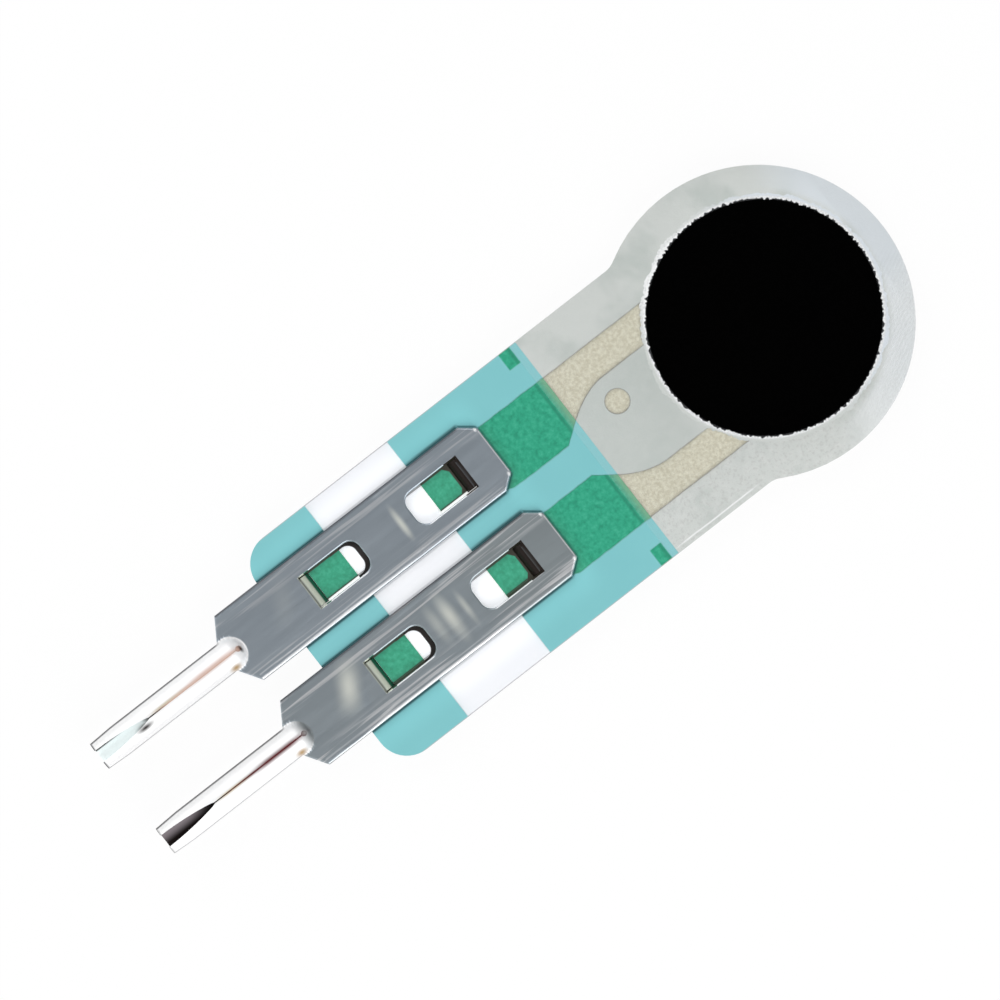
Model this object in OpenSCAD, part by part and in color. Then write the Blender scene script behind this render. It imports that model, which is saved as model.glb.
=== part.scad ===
// Force sensing resistor with a short tail and two crimped solder contacts.
// The origin is under the centre of the round head, on the face that gets stuck down.
// +Z points to the sensing side, +Y to the far end of the head, and the solder pins point along -Y.

/* [Outline] */
// Diameter of the round sensing head
head_d = 7.48; // [7.2:0.02:8.6]
// Width of the flat tail
tail_w = 6.35; // [6:0.05:6.8]
// Distance from the head centre to the rear end of the tail
tail_reach = 13.2; // [12.8:0.1:16]
// Radius of the two rear corners of the tail
tail_corner_r = 0.78; // [0.2:0.02:1.2]
// Radius of the inside curve between the tail and the head
neck_r = 0.6; // [0.2:0.05:1.5]

/* [Film layers] */
// Thickness of the mounting adhesive under the head
rear_adhesive_t = 0.05; // [0.03:0.01:0.1]
// Thickness of the lower polyester film
base_film_t = 0.125; // [0.075:0.025:0.25]
// Thickness of the printed silver
silver_t = 0.02; // [0.01:0.005:0.025]
// Thickness of the spacer adhesive and of the insulating coats beside it
spacer_t = 0.06; // [0.05:0.01:0.15]
// Thickness of the printed carbon disc
carbon_t = 0.02; // [0.01:0.005:0.025]
// Thickness of the upper polyester film
top_film_t = 0.1; // [0.05:0.025:0.2]

/* [Sensing area] */
// Diameter of the black carbon disc
disc_d = 5.68; // [4.8:0.02:5.8]
// Distance from the head centre to the disc centre, towards the far end
disc_offset = 0.18; // [0:0.02:0.3]
// Gap between the disc and the round opening of the spacer
opening_gap = 0.1; // [0.04:0.02:0.2]
// Distance from the rim of the disc to the silver ring below it
ring_inset = 0.06; // [0.02:0.01:0.2]
// Width of the silver ring
ring_w = 0.25; // [0.15:0.01:0.4]
// Width of one silver finger
finger_w = 0.26; // [0.15:0.01:0.4]
// Gap between neighbouring fingers, and from a finger to the other ring
finger_gap = 0.2; // [0.1:0.01:0.35]

/* [Printed tail] */
// Distance from the head centre to the rear edge of the upper film
top_film_reach = 5.04; // [4.6:0.02:5.6]
// How far the front coat runs in under the upper film
coat_overlap = 0.19; // [0.1:0.01:0.4]
// Length of the insulating coat at the rear end of the tail
rear_coat_l = 2.02; // [1.8:0.02:2.3]
// Length of the bare band between the two coats
band_l = 2.48; // [2:0.02:2.8]
// Width of the silver pad under a contact
pad_w = 1.64; // [1.2:0.02:1.9]
// Width of the silver trace that runs on into the head
trace_w = 0.85; // [0.5:0.01:1]
// Length over which a pad narrows down to its trace
taper_l = 1.65; // [1:0.05:2]
// How far the taper begins behind the edge of the upper film
taper_lead = 0.31; // [0.1:0.01:0.6]
// Length of the silver island under the rear window of a contact
rear_pad_l = 1.58; // [1.3:0.02:1.7]
// Size of an index mark across the tail
index_mark_w = 0.47; // [0.3:0.01:0.6]
// Size of an index mark along the tail
index_mark_l = 0.32; // [0.2:0.01:0.5]
// Diameter of the printed dot between the traces
dot_d = 0.62; // [0.3:0.02:0.8]
// Place of the dot across the tail
dot_x = -0.57; // [-0.6:0.01:0.6]
// Distance from the head centre to the dot, towards the tail
dot_reach = 3.79; // [3.5:0.01:4.2]

/* [Contacts] */
// Distance between the centres of the two solder pins
pin_pitch = 2.54; // [2.4:0.01:2.8]
// How far the pair of contacts is crimped off the centre line of the tail
pair_offset = -0.18; // [-0.2:0.01:0.2]
// Width of a contact body
contact_w = 1.92; // [1.7:0.02:2]
// Thickness of the contact sheet
contact_t = 0.2; // [0.15:0.01:0.25]
// How far a contact reaches over the tail from its rear end
crimp_reach = 6.4; // [6:0.05:7]
// How far the flat body stands out behind the tail
body_overhang = 1.27; // [0.8:0.01:2]
// Length of the tapered shoulder between the body and the pin
shoulder_l = 0.36; // [0.2:0.01:0.6]
// Length of a front corner chamfer along the contact
front_chamfer_l = 0.38; // [0.1:0.01:0.6]
// Width of a front corner chamfer across the contact
front_chamfer_w = 0.3; // [0.1:0.01:0.5]
// Radius of the upper long edges of a contact
edge_r = 0.06; // [0.02:0.01:0.1]

/* [Crimp tines] */
// Width of a window in the contact
window_w = 0.88; // [0.7:0.01:1]
// Length of a window in the contact
window_l = 1.62; // [1.3:0.01:1.8]
// Corner radius at the rounded end of a window
window_r = 0.28; // [0.1:0.01:0.4]
// Distance from the front end of the contact to the front tine
front_land = 0.86; // [0.7:0.01:1.1]
// Distance from the rear end of the tail to the rear tine
rear_land = 0.85; // [0.7:0.01:1.1]
// Gap on each side of a tine in its window
tine_gap = 0.03; // [0.01:0.01:0.1]
// Inside radius of the bend at the top of a tine
bend_r = 0.05; // [0.03:0.01:0.1]
// Inside radius of the curl below the film
curl_r = 0.15; // [0.1:0.01:0.2]
// How far below the lower film a tine begins to curl
curl_drop = 0.05; // [0.02:0.01:0.1]
// Gap between a tine and the film that it pierces
pierce_gap = 0.01; // [0.005:0.005:0.03]

/* [Solder pins] */
// Outside diameter of a rolled pin
pin_d = 0.8; // [0.6:0.01:0.9]
// Length of a pin behind the shoulder
pin_l = 3.83; // [2.5:0.01:5]
// Length of the narrowing at the tip of a pin
tip_l = 0.6; // [0.3:0.01:1]
// Diameter at the very tip of a pin
tip_d = 0.74; // [0.5:0.01:0.8]
// Width of the closed stretch of the seam
seam_w = 0.05; // [0.02:0.01:0.1]
// Width of the seam where it gapes at the tip
gape_w = 0.34; // [0.1:0.01:0.4]
// Length over which the seam gapes at the tip
gape_l = 1.5; // [0.6:0.05:1.8]
// Share of the gape that is left half-way along it
gape_mid = 0.84; // [0.6:0.02:1]
// How far the domed root of a pin reaches in over the flat body
root_reach = 0.5; // [0.4:0.01:0.7]
// Distance from the nose of the root to the round mouth where the seam ends
mouth_inset = 0.16; // [0.1:0.01:0.25]
// Diameter of that mouth
mouth_d = 0.14; // [0.08:0.01:0.2]

/* [Hidden] */
$fn = 96;

left = -1;
right = 1;

// Heights of the faces of the stack, from the mounting face up
z_base = rear_adhesive_t;
z_print = z_base + base_film_t;
z_cover = z_print + spacer_t;

// Lines across the tail, from its rear end to the head
y_tail = -tail_reach;
y_rear_coat = y_tail + rear_coat_l;
y_front_coat = y_rear_coat + band_l;
y_film_edge = -top_film_reach;
y_coat_edge = y_film_edge + coat_overlap;
y_far = head_d / 2;

// Lines across a contact, from its front end to the tip of its pin
y_contact = y_tail + crimp_reach;
y_front_hinge = y_contact - front_land;
y_rear_hinge = y_tail + rear_land;
y_body_end = y_tail - body_overhang;
y_neck = y_body_end - shoulder_l;
y_tip = y_neck - pin_l;

// Centre of the circle that rounds the neck on the right side
neck_x = tail_w / 2 + neck_r;
neck_y = -sqrt(pow(head_d / 2 + neck_r, 2) - pow(neck_x, 2));
neck_touch = head_d / (head_d + 2 * neck_r);

// Silver pads and traces lie at the pitch of the pins
pad_x = pin_pitch / 2;
pad_inner = pad_x - pad_w / 2;
trace_outer = pad_x + pad_w / 2;
trace_inner = trace_outer - trace_w;
y_taper = y_film_edge - taper_lead;
taper_steps = 8;

// Radii of the sensing area, all about the disc centre
disc_r = disc_d / 2;
opening_r = disc_r + opening_gap;
ring_r = disc_r - ring_inset;
comb_r = ring_r - ring_w;
finger_pitch = finger_w + finger_gap;
finger_reach = comb_r - finger_gap;
shortest_chord = 0.1;
finger_rows = 1 + floor((2 * finger_reach - finger_w - shortest_chord) / finger_pitch);
finger_root = ring_w / 3;

// Rolled pin
pin_r = pin_d / 2;
pin_z = z_cover + contact_t / 2;
channel_r = pin_r - contact_t;
y_nose = y_neck + root_reach;
y_dome = y_nose - pin_r;
y_mouth = y_nose - mouth_inset;

// Crimp tine, seen from the side with its hinge at 0
tine_w = window_w - 2 * tine_gap;
tine_outer = bend_r + contact_t;
z_bend = z_cover - bend_r;
z_curl = z_base - curl_drop;
tine_tip_z = z_base - pierce_gap;
curl_x = bend_r - curl_r;

spare = 1;

function contact_x(side) = pair_offset + side * pin_pitch / 2;

// Height of a finger row above the disc centre
function row_y(row) = (row - (finger_rows - 1) / 2) * finger_pitch;

// How far a finger in this row can run before it nears the other ring
function finger_end(row) = sqrt(pow(finger_reach, 2) - pow(abs(row_y(row)) + finger_w / 2, 2));

// A flat layer from a plan
module layer(z, t) {
    translate([0, 0, z])
        linear_extrude(height = t)
            children();
}

// The strip of the plane between two lines across the tail
module across(y0, y1) {
    translate([-head_d, y0])
        square([2 * head_d, y1 - y0]);
}

// Plan of the tail with its rounded rear corners
module tail_plan() {
    translate([-tail_w / 2, y_tail + tail_corner_r])
        square([tail_w, tail_reach - tail_corner_r]);
    translate([-tail_w / 2 + tail_corner_r, y_tail])
        square([tail_w - 2 * tail_corner_r, 2 * tail_corner_r]);
    for (side = [left, right])
        translate([side * (tail_w / 2 - tail_corner_r), y_tail + tail_corner_r])
            circle(r = tail_corner_r);
}

// Plan of the inside curve between the tail and the head
module neck_plan() {
    difference() {
        polygon([[0, neck_y], [tail_w / 2, neck_y], [neck_x * neck_touch, neck_y * neck_touch], [0, 0]]);
        translate([neck_x, neck_y])
            circle(r = neck_r);
    }
}

// The die-cut outline that all films share
module outline_plan() {
    circle(d = head_d);
    tail_plan();
    neck_plan();
    mirror([1, 0])
        neck_plan();
}

// The outline between two lines across the tail
module outline_between(y0, y1) {
    intersection() {
        outline_plan();
        across(y0, y1);
    }
}

// A printed layer of silver from a plan
module print_silver() {
    layer(z_print, silver_t)
        children();
}

// A disc through the whole stack, about the centre of the carbon disc
module about_disc(r) {
    translate([0, disc_offset, z_print - spare])
        cylinder(r = r, h = 2 * spare);
}

// Silver pad, its taper and the trace, on the right side
module trace_plan() {
    polygon(concat(
        [[trace_outer, 0], [trace_outer, y_front_coat], [pad_inner, y_front_coat]],
        [for (i = [0 : taper_steps])
            [pad_inner + (trace_inner - pad_inner) * sin(90 * i / taper_steps),
             y_taper + taper_l * i / taper_steps]],
        [[trace_inner, 0]]
    ));
}

// Right half of the round area that the silver ring and the fingers take up
module half_area_plan() {
    translate([0, disc_offset])
        intersection() {
            circle(r = ring_r);
            translate([finger_gap / 2, -ring_r])
                square([ring_r, 2 * ring_r]);
        }
}

// Pad and trace with the half ring that they run into, on the right side
module bus() {
    difference() {
        union() {
            print_silver()
                trace_plan();
            print_silver()
                half_area_plan();
        }
        about_disc(comb_r);
    }
}

// Fingers of one polarity: every second row, rooted in the ring on their own side
module fingers(side) {
    first = side == left ? 0 : 1;
    intersection() {
        about_disc(ring_r - finger_root);
        for (row = [first : 2 : finger_rows - 1])
            translate([side == left ? -ring_r : -finger_end(row),
                       disc_offset + row_y(row) - finger_w / 2, z_print])
                cube([ring_r + finger_end(row), finger_w, silver_t]);
    }
}

// One whole electrode: pad, trace, half ring and fingers
module electrode_print(side) {
    mirror([side == left ? 1 : 0, 0, 0])
        bus();
    fingers(side);
}

// Silver island under the rear window of a contact
module rear_pad_print(side) {
    translate([side * pad_x - pad_w / 2, y_rear_coat - rear_pad_l, z_print])
        cube([pad_w, rear_pad_l, silver_t]);
}

// Index mark at an edge of the tail, just behind the upper film
module index_mark_print(side) {
    translate([side * (tail_w - index_mark_w) / 2 - index_mark_w / 2, y_film_edge - index_mark_l, z_print])
        cube([index_mark_w, index_mark_l, silver_t]);
}

module dot_print() {
    translate([dot_x, -dot_reach, z_print])
        cylinder(d = dot_d, h = silver_t);
}

// Everything printed in silver, which the layers above it are laid over
module all_silver() {
    for (side = [left, right]) {
        electrode_print(side);
        rear_pad_print(side);
        index_mark_print(side);
    }
    dot_print();
}

// Slit that a tine cuts through the films, with the hinge at 0 and the window along +Y
module slit() {
    slit_w = tine_w + 2 * pierce_gap;
    translate([-slit_w / 2, -pierce_gap, z_base - spare])
        cube([slit_w, tine_outer + 2 * pierce_gap, base_film_t + spacer_t + 2 * spare]);
}

// The slits of all four tines
module slits() {
    for (side = [left, right])
        translate([contact_x(side), 0, 0]) {
            translate([0, y_rear_hinge, 0])
                slit();
            translate([0, y_front_hinge, 0])
                mirror([0, 1, 0])
                    slit();
        }
}

module rear_adhesive() {
    color([0.90, 0.90, 0.86])
        layer(0, rear_adhesive_t)
            outline_between(y_film_edge, y_far);
}

module base_film() {
    color([0.93, 0.95, 0.97])
        difference() {
            layer(z_base, base_film_t)
                outline_plan();
            slits();
        }
}

module electrode(side) {
    color([0.84, 0.80, 0.71])
        difference() {
            electrode_print(side);
            slits();
        }
}

module rear_pad(side) {
    color([0.84, 0.80, 0.71])
        difference() {
            rear_pad_print(side);
            slits();
        }
}

module index_mark(side) {
    color([0.84, 0.80, 0.71])
        index_mark_print(side);
}

module marker_dot() {
    color([0.84, 0.80, 0.71])
        dot_print();
}

// A coat over the films between two lines, moulded over the silver that it covers
module insulation(y0, y1) {
    color([0.50, 0.78, 0.79])
        difference() {
            layer(z_print, spacer_t)
                outline_between(y0, y1);
            all_silver();
            slits();
        }
}

// Adhesive that joins the two films and keeps them apart over the fingers
module spacer_adhesive() {
    color([0.80, 0.82, 0.82])
        difference() {
            layer(z_print, spacer_t)
                difference() {
                    outline_between(y_coat_edge, y_far);
                    translate([0, disc_offset])
                        circle(r = opening_r);
                }
            all_silver();
        }
}

module carbon_disc() {
    color([0.02, 0.02, 0.02])
        translate([0, disc_offset, z_cover - carbon_t])
            cylinder(r = disc_r, h = carbon_t);
}

module top_film() {
    color([0.85, 0.87, 0.88])
        layer(z_cover, top_film_t)
            outline_between(y_film_edge, y_far);
}

// Window with a square end at its hinge and a rounded end along +Y
module window_plan() {
    translate([-window_w / 2, 0])
        square([window_w, window_l - window_r]);
    translate([-window_w / 2 + window_r, 0])
        square([window_w - 2 * window_r, window_l]);
    for (side = [left, right])
        translate([side * (window_w / 2 - window_r), window_l - window_r])
            circle(r = window_r);
}

// Plan of the flat body, with its front chamfers, shoulders and windows
module body_plan() {
    half = contact_w / 2;
    difference() {
        polygon([
            [half - front_chamfer_w, y_contact], [half, y_contact - front_chamfer_l],
            [half, y_body_end], [pin_r, y_neck], [-pin_r, y_neck], [-half, y_body_end],
            [-half, y_contact - front_chamfer_l], [front_chamfer_w - half, y_contact]
        ]);
        translate([0, y_rear_hinge])
            window_plan();
        translate([0, y_front_hinge])
            mirror([0, 1])
                window_plan();
    }
}

// Section across the body, with its two upper edges rounded
module body_section() {
    translate([-contact_w / 2, 0])
        square([contact_w, contact_t - edge_r]);
    translate([-contact_w / 2 + edge_r, 0])
        square([contact_w - 2 * edge_r, contact_t]);
    for (side = [left, right])
        translate([side * (contact_w / 2 - edge_r), contact_t - edge_r])
            circle(r = edge_r);
}

module flat_body() {
    intersection() {
        layer(z_cover, contact_t)
            body_plan();
        translate([0, y_contact + spare, z_cover])
            rotate([90, 0, 0])
                linear_extrude(height = y_contact - y_neck + 2 * spare)
                    body_section();
    }
}

// Side view of a tine: bent down at its hinge, through the films, and curled back under them
module tine_profile() {
    intersection() {
        translate([0, z_bend])
            difference() {
                circle(r = tine_outer);
                circle(r = bend_r);
            }
        translate([0, z_bend])
            square(tine_outer);
    }
    translate([-edge_r, z_cover])
        square([edge_r, contact_t]);
    translate([bend_r, z_curl])
        square([contact_t, z_bend - z_curl]);
    intersection() {
        translate([curl_x, z_curl])
            difference() {
                circle(r = curl_r + contact_t);
                circle(r = curl_r);
            }
        translate([curl_x - curl_r - contact_t, z_curl - curl_r - contact_t])
            square([2 * (curl_r + contact_t), curl_r + contact_t]);
    }
    translate([curl_x - curl_r - contact_t, z_curl])
        square([contact_t, tine_tip_z - z_curl]);
}

// A tine with its hinge at 0 and its window along +Y
module tine() {
    translate([-tine_w / 2, 0, 0])
        rotate([90, 0, 90])
            linear_extrude(height = tine_w)
                tine_profile();
}

// Outside of the pin: a straight barrel that narrows at the tip and ends in a dome at its root
module pin_barrel() {
    translate([0, y_tip, pin_z])
        rotate([-90, 0, 0]) {
            cylinder(d1 = tip_d, d2 = pin_d, h = tip_l);
            translate([0, 0, tip_l])
                cylinder(d = pin_d, h = y_dome - y_tip - tip_l);
        }
    translate([0, y_dome, pin_z])
        sphere(d = pin_d);
}

// Plan of the seam: it gapes at the tip, closes, and ends in the mouth
module seam_plan() {
    y_gape_mid = y_tip + gape_l / 2;
    polygon([
        [-gape_w / 2, y_tip - spare], [-gape_w / 2, y_tip],
        [-gape_w / 2 * gape_mid, y_gape_mid], [-seam_w / 2, y_tip + gape_l],
        [-seam_w / 2, y_mouth], [seam_w / 2, y_mouth],
        [seam_w / 2, y_tip + gape_l], [gape_w / 2 * gape_mid, y_gape_mid],
        [gape_w / 2, y_tip], [gape_w / 2, y_tip - spare]
    ]);
}

// Everything cut out of the pin: its channel, the seam and the mouth
module pin_hollow() {
    translate([0, y_tip - spare, pin_z])
        rotate([-90, 0, 0])
            cylinder(r = channel_r, h = y_dome - y_tip + spare);
    layer(pin_z, pin_d)
        seam_plan();
    translate([0, y_mouth, pin_z])
        cylinder(d = mouth_d, h = pin_d);
}

// One stamped contact: flat body, two curled tines and a rolled pin
module contact(side) {
    color([0.60, 0.62, 0.65])
        translate([contact_x(side), 0, 0]) {
            difference() {
                union() {
                    flat_body();
                    pin_barrel();
                }
                pin_hollow();
            }
            translate([0, y_rear_hinge, 0])
                tine();
            translate([0, y_front_hinge, 0])
                mirror([0, 1, 0])
                    tine();
        }
}

rear_adhesive();
base_film();
electrode(left);  // left_electrode
electrode(right);  // right_electrode
rear_pad(left);  // left_rear_pad
rear_pad(right);  // right_rear_pad
index_mark(left);  // left_index_mark
index_mark(right);  // right_index_mark
marker_dot();
insulation(y_front_coat, y_coat_edge);  // front_insulation
insulation(y_tail, y_rear_coat);  // rear_insulation
spacer_adhesive();
carbon_disc();
top_film();
contact(left);  // left_contact
contact(right);  // right_contact
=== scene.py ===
# %% [markdown]
# # A force sensing resistor with a short tail
#
# The real object is a flat stack of polyester films. Silver fingers are printed on the lower film,
# a black carbon disc on the upper one, and a ring of adhesive keeps the two apart until a finger
# presses them together. Two stamped contacts are crimped through the tail as solder pins.
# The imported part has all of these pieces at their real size, so this lesson starts by loading it,
# and then only gives each piece the surface that the eye expects.

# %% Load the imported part
import math

import bmesh
import bpy
import numpy as np
from mathutils import Matrix, Vector
from mathutils.geometry import delaunay_2d_cdt


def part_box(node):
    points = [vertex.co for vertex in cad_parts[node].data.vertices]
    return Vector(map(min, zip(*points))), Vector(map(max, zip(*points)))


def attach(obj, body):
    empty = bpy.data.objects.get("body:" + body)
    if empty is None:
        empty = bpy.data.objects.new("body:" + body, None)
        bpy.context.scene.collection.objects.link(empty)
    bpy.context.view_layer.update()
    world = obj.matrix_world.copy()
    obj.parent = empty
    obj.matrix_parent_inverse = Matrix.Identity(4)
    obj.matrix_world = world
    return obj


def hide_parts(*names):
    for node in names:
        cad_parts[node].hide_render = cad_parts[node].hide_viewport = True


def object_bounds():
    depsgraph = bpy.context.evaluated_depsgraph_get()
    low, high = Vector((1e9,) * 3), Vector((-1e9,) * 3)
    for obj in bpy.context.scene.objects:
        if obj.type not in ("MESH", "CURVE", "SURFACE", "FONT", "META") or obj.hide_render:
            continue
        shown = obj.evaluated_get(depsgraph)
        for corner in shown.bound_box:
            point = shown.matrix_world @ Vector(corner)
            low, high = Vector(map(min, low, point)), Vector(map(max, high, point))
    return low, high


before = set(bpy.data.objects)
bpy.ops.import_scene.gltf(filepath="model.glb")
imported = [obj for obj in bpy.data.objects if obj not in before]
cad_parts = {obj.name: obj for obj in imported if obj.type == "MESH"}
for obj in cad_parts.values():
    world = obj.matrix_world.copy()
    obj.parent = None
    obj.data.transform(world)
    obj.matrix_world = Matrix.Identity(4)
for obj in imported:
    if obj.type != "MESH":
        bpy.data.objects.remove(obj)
cad_low, cad_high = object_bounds()
print("nodes", len(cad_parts), "box", [round(v * 1000, 3) for v in (*cad_low, *cad_high)])

# %% [markdown]
# ## Sizes
#
# Every size here is in millimetres, because the whole object is only 22 mm long. What the packed
# part can say for itself is read from the boxes of its nodes, and the films are cut a hair smaller,
# so that they stay in those boxes. The few sizes that a box can't show, such as corner radii and
# the windows of the contacts, are named below it.

# %% Sizes read from the part
MM = 0.001


def box_mm(node):
    """Lowest and highest corner of a CAD node, in millimetres."""
    low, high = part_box(node)
    return low / MM, high / MM


film_low, film_high = box_mm("base_film")
top_low, top_high = box_mm("top_film")
disc_low, disc_high = box_mm("carbon_disc")
coat_low, coat_high = box_mm("front_insulation")
rear_coat_high = box_mm("rear_insulation")[1]
mark_low, mark_high = box_mm("right_index_mark")
pad_low, pad_high = box_mm("right_rear_pad")
dot_low, dot_high = box_mm("marker_dot")
contact_low, contact_high = box_mm("right_contact")
other_low, other_high = box_mm("left_contact")

TRIM = 0.006
HEAD_R = film_high.x - TRIM
TAIL_HALF = mark_high.x
Y_TAIL = film_low.y
Y_FILM_EDGE = top_low.y
Y_FRONT_COAT = coat_low.y
Y_COAT_EDGE = coat_high.y
Y_REAR_COAT = rear_coat_high.y
DISC_R = (disc_high.x - disc_low.x) / 2
DISC_Y = (disc_high.y + disc_low.y) / 2
DOT_R = (dot_high.x - dot_low.x) / 2
DOT_X, DOT_Y = (dot_low.x + dot_high.x) / 2, (dot_low.y + dot_high.y) / 2
Z_COVER = coat_high.z
CONTACT_X = {"left_contact": (other_low.x + other_high.x) / 2,
             "right_contact": (contact_low.x + contact_high.x) / 2}
BODY_HALF = (contact_high.x - contact_low.x) / 2
Y_CONTACT = contact_high.y
Y_TIP = contact_low.y
PAIR_X = sum(CONTACT_X.values()) / 2
PITCH = CONTACT_X["right_contact"] - CONTACT_X["left_contact"]
print("head", round(HEAD_R, 3), "tail", round(TAIL_HALF, 3), "pitch", round(PITCH, 3))

# %% Sizes that a box can't show
NECK_R = 0.6
CORNER_R = 0.78
OPENING_R = DISC_R + 0.1
TRACE_W = 0.85
TAPER_START = Y_FILM_EDGE - 0.31
TAPER_L = 1.65
SHEET_T = 0.2
EDGE_R = 0.06
CHAMFER_L = 0.38
CHAMFER_W = 0.3
CHAMFER = math.hypot(CHAMFER_L, CHAMFER_W)
WINDOW_HALF = 0.44
WINDOW_L = 1.62
WINDOW_R = 0.28
TINE_HALF = 0.41
FRONT_HINGE = Y_CONTACT - 0.86
REAR_HINGE = Y_TAIL + 0.85
HINGES = ((REAR_HINGE, 1), (FRONT_HINGE, -1))
BODY_END = Y_TAIL - 1.27
NECK_Y = BODY_END - 0.36
PIN_R = 0.3985
CHANNEL_R = 0.2
NOSE_Y = NECK_Y + 0.5
DOME_Y = NOSE_Y - PIN_R
MOUTH_Y = NOSE_Y - 0.16
PIN_Z = Z_COVER + SHEET_T / 2
Z_SHEET = Z_COVER + SHEET_T
print("contact from", round(Y_CONTACT, 2), "to", round(Y_TIP, 2), "sheet top at", round(Z_SHEET, 3))

# %% [markdown]
# ## Camera
#
# The photograph looks straight down on the part, which lies turned on the page. The part is as
# flat as a card, so a long lens from far above shows it without any slant: a millimetre is as long
# at one end of the part as at the other. The camera is turned by the angle of the part.

# %% Camera
VIEW_X, VIEW_Y = -0.427, -7.43
VIEW_W = 23.75
PAGE_TURN = 52.16
CAMERA_UP = 240
SENSOR = 36

camera_data = bpy.data.cameras.new("camera")
camera_data.sensor_width = SENSOR
camera_data.lens = SENSOR * CAMERA_UP / VIEW_W
camera = bpy.data.objects.new("camera", camera_data)
camera.location = Vector((VIEW_X, VIEW_Y, CAMERA_UP)) * MM
camera.rotation_euler = (0, 0, math.radians(PAGE_TURN))
camera_data.clip_start = 0.001
camera_data.clip_end = 10
bpy.context.scene.collection.objects.link(camera)
bpy.context.scene.camera = camera
bpy.context.scene.view_settings.view_transform = "Standard"
print("camera covers", VIEW_W, "mm with a lens of", round(camera_data.lens), "mm")

# %% [markdown]
# ## Shader sums as plain Python
#
# A material is a tree of small nodes. Written out node by node, a mask such as
# "inside the pad and not too near its edge" takes a page. Here one class wraps an output socket
# and lends it Python's signs, so the same mask is one readable line, and each sign adds its node.

# %% A socket that can be added and multiplied
class Value:
    """One output socket in a tree."""

    def __init__(self, tree, socket):
        self.tree = tree
        self.socket = socket

    def __abs__(self):
        return self.tree.maths("ABSOLUTE", self)


def operator(operation, turned):
    """A method that adds a Math node. Turned, it serves a number on the left, as in 1 - mask."""
    def work_out(self, other):
        return self.tree.maths(operation, *((other, self) if turned else (self, other)))
    return work_out


OPERATORS = {"add": "ADD", "sub": "SUBTRACT", "mul": "MULTIPLY", "truediv": "DIVIDE",
             "pow": "POWER"}
for name, operation in OPERATORS.items():
    setattr(Value, f"__{name}__", operator(operation, False))
    setattr(Value, f"__r{name}__", operator(operation, True))
print("a socket understands", ", ".join(OPERATORS), "and abs")


# %% [markdown]
# ## A tree of nodes
#
# Blender adds nodes one at a time and finds their sockets by number or by name. That could be
# written out for each node, but it is the same few lines every time. So one method takes the type
# of a node, its settings and what goes into its sockets, and the settings come first, because a
# Math or Mix node only has its right sockets once it knows what it does. The nodes of a material
# and those of a modifier work alike, so the same method serves both.

# %% A tree that nodes are added to
class Tree:
    """The nodes of a material or of a modifier."""

    def __init__(self, tree):
        self.tree = tree

    def node(self, kind, settings=None, values=None, output=0):
        """Adds a node of a type, makes its settings, fills its sockets and gives one output."""
        made = self.tree.nodes.new(kind)
        for name, setting in (settings or {}).items():
            if name == "stops":
                self.set_stops(made.color_ramp, setting)
            else:
                setattr(made, name, setting)
        for key, value in (values or {}).items():
            self.fill(made, key, value)
        if isinstance(output, str):
            sockets = [s for s in made.outputs if output in (s.identifier, s.name)]
        else:
            sockets = [s for s in made.outputs if s.enabled][output:]
        return Value(self, sockets[0]) if sockets else None

    def set_stops(self, ramp, stops):
        """Gives a colour ramp its stops, each a position and a colour."""
        while len(ramp.elements) < len(stops):
            ramp.elements.new(0.5)
        for element, (position, colour) in zip(ramp.elements, stops):
            element.position = position
            element.color = (*colour, 1)

    def fill(self, made, key, value):
        """Sets one input, or links it to one value or a list of them."""
        if isinstance(key, int):
            socket = made.inputs[key]
        else:
            socket = next(s for s in made.inputs if key in (s.identifier, s.name))
        if isinstance(value, (Value, list)):
            for one in value if isinstance(value, list) else [value]:
                self.tree.links.new(one.socket, socket)
        elif socket.type == "RGBA" and len(value) == 3:
            socket.default_value = (*value, 1)
        else:
            socket.default_value = value

    def maths(self, operation, first, second=0.0):
        return self.node("ShaderNodeMath", {"operation": operation}, {0: first, 1: second})

    def most(self, *values):
        """The largest of some values."""
        found = values[0]
        for value in values[1:]:
            found = self.maths("MAXIMUM", found, value)
        return found

    def blend(self, mask, first, second):
        """A colour that goes from the first to the second as the mask goes from 0 to 1."""
        return self.node("ShaderNodeMix", {"data_type": "RGBA"},
                         {"Factor_Float": mask, "A_Color": first, "B_Color": second},
                         "Result_Color")

    def paint(self, colour, *layers):
        """Lays colours over a first one, in their order. Each comes after its mask."""
        for mask, paint in layers:
            colour = self.blend(mask, colour, paint)
        return colour


def words_of(kind):
    """The methods of a class that are meant to be used."""
    return [name for name in vars(kind) if not name.startswith("_")]


print("a tree can", words_of(Tree))


# %% [markdown]
# ## A finish, painted by place
#
# Almost every mark on this part has its place: the edge of the silver, the seam of a pin, the
# shadow beside a contact. An image could hold them, but it would be sharp at one size only. Here a
# finish starts from the point that is being shaded, in millimetres from the part's origin, and has
# a few words for soft edges, lines, spots and noise. The pieces stay at the origin, so the marks
# stay on them from any side.

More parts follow.
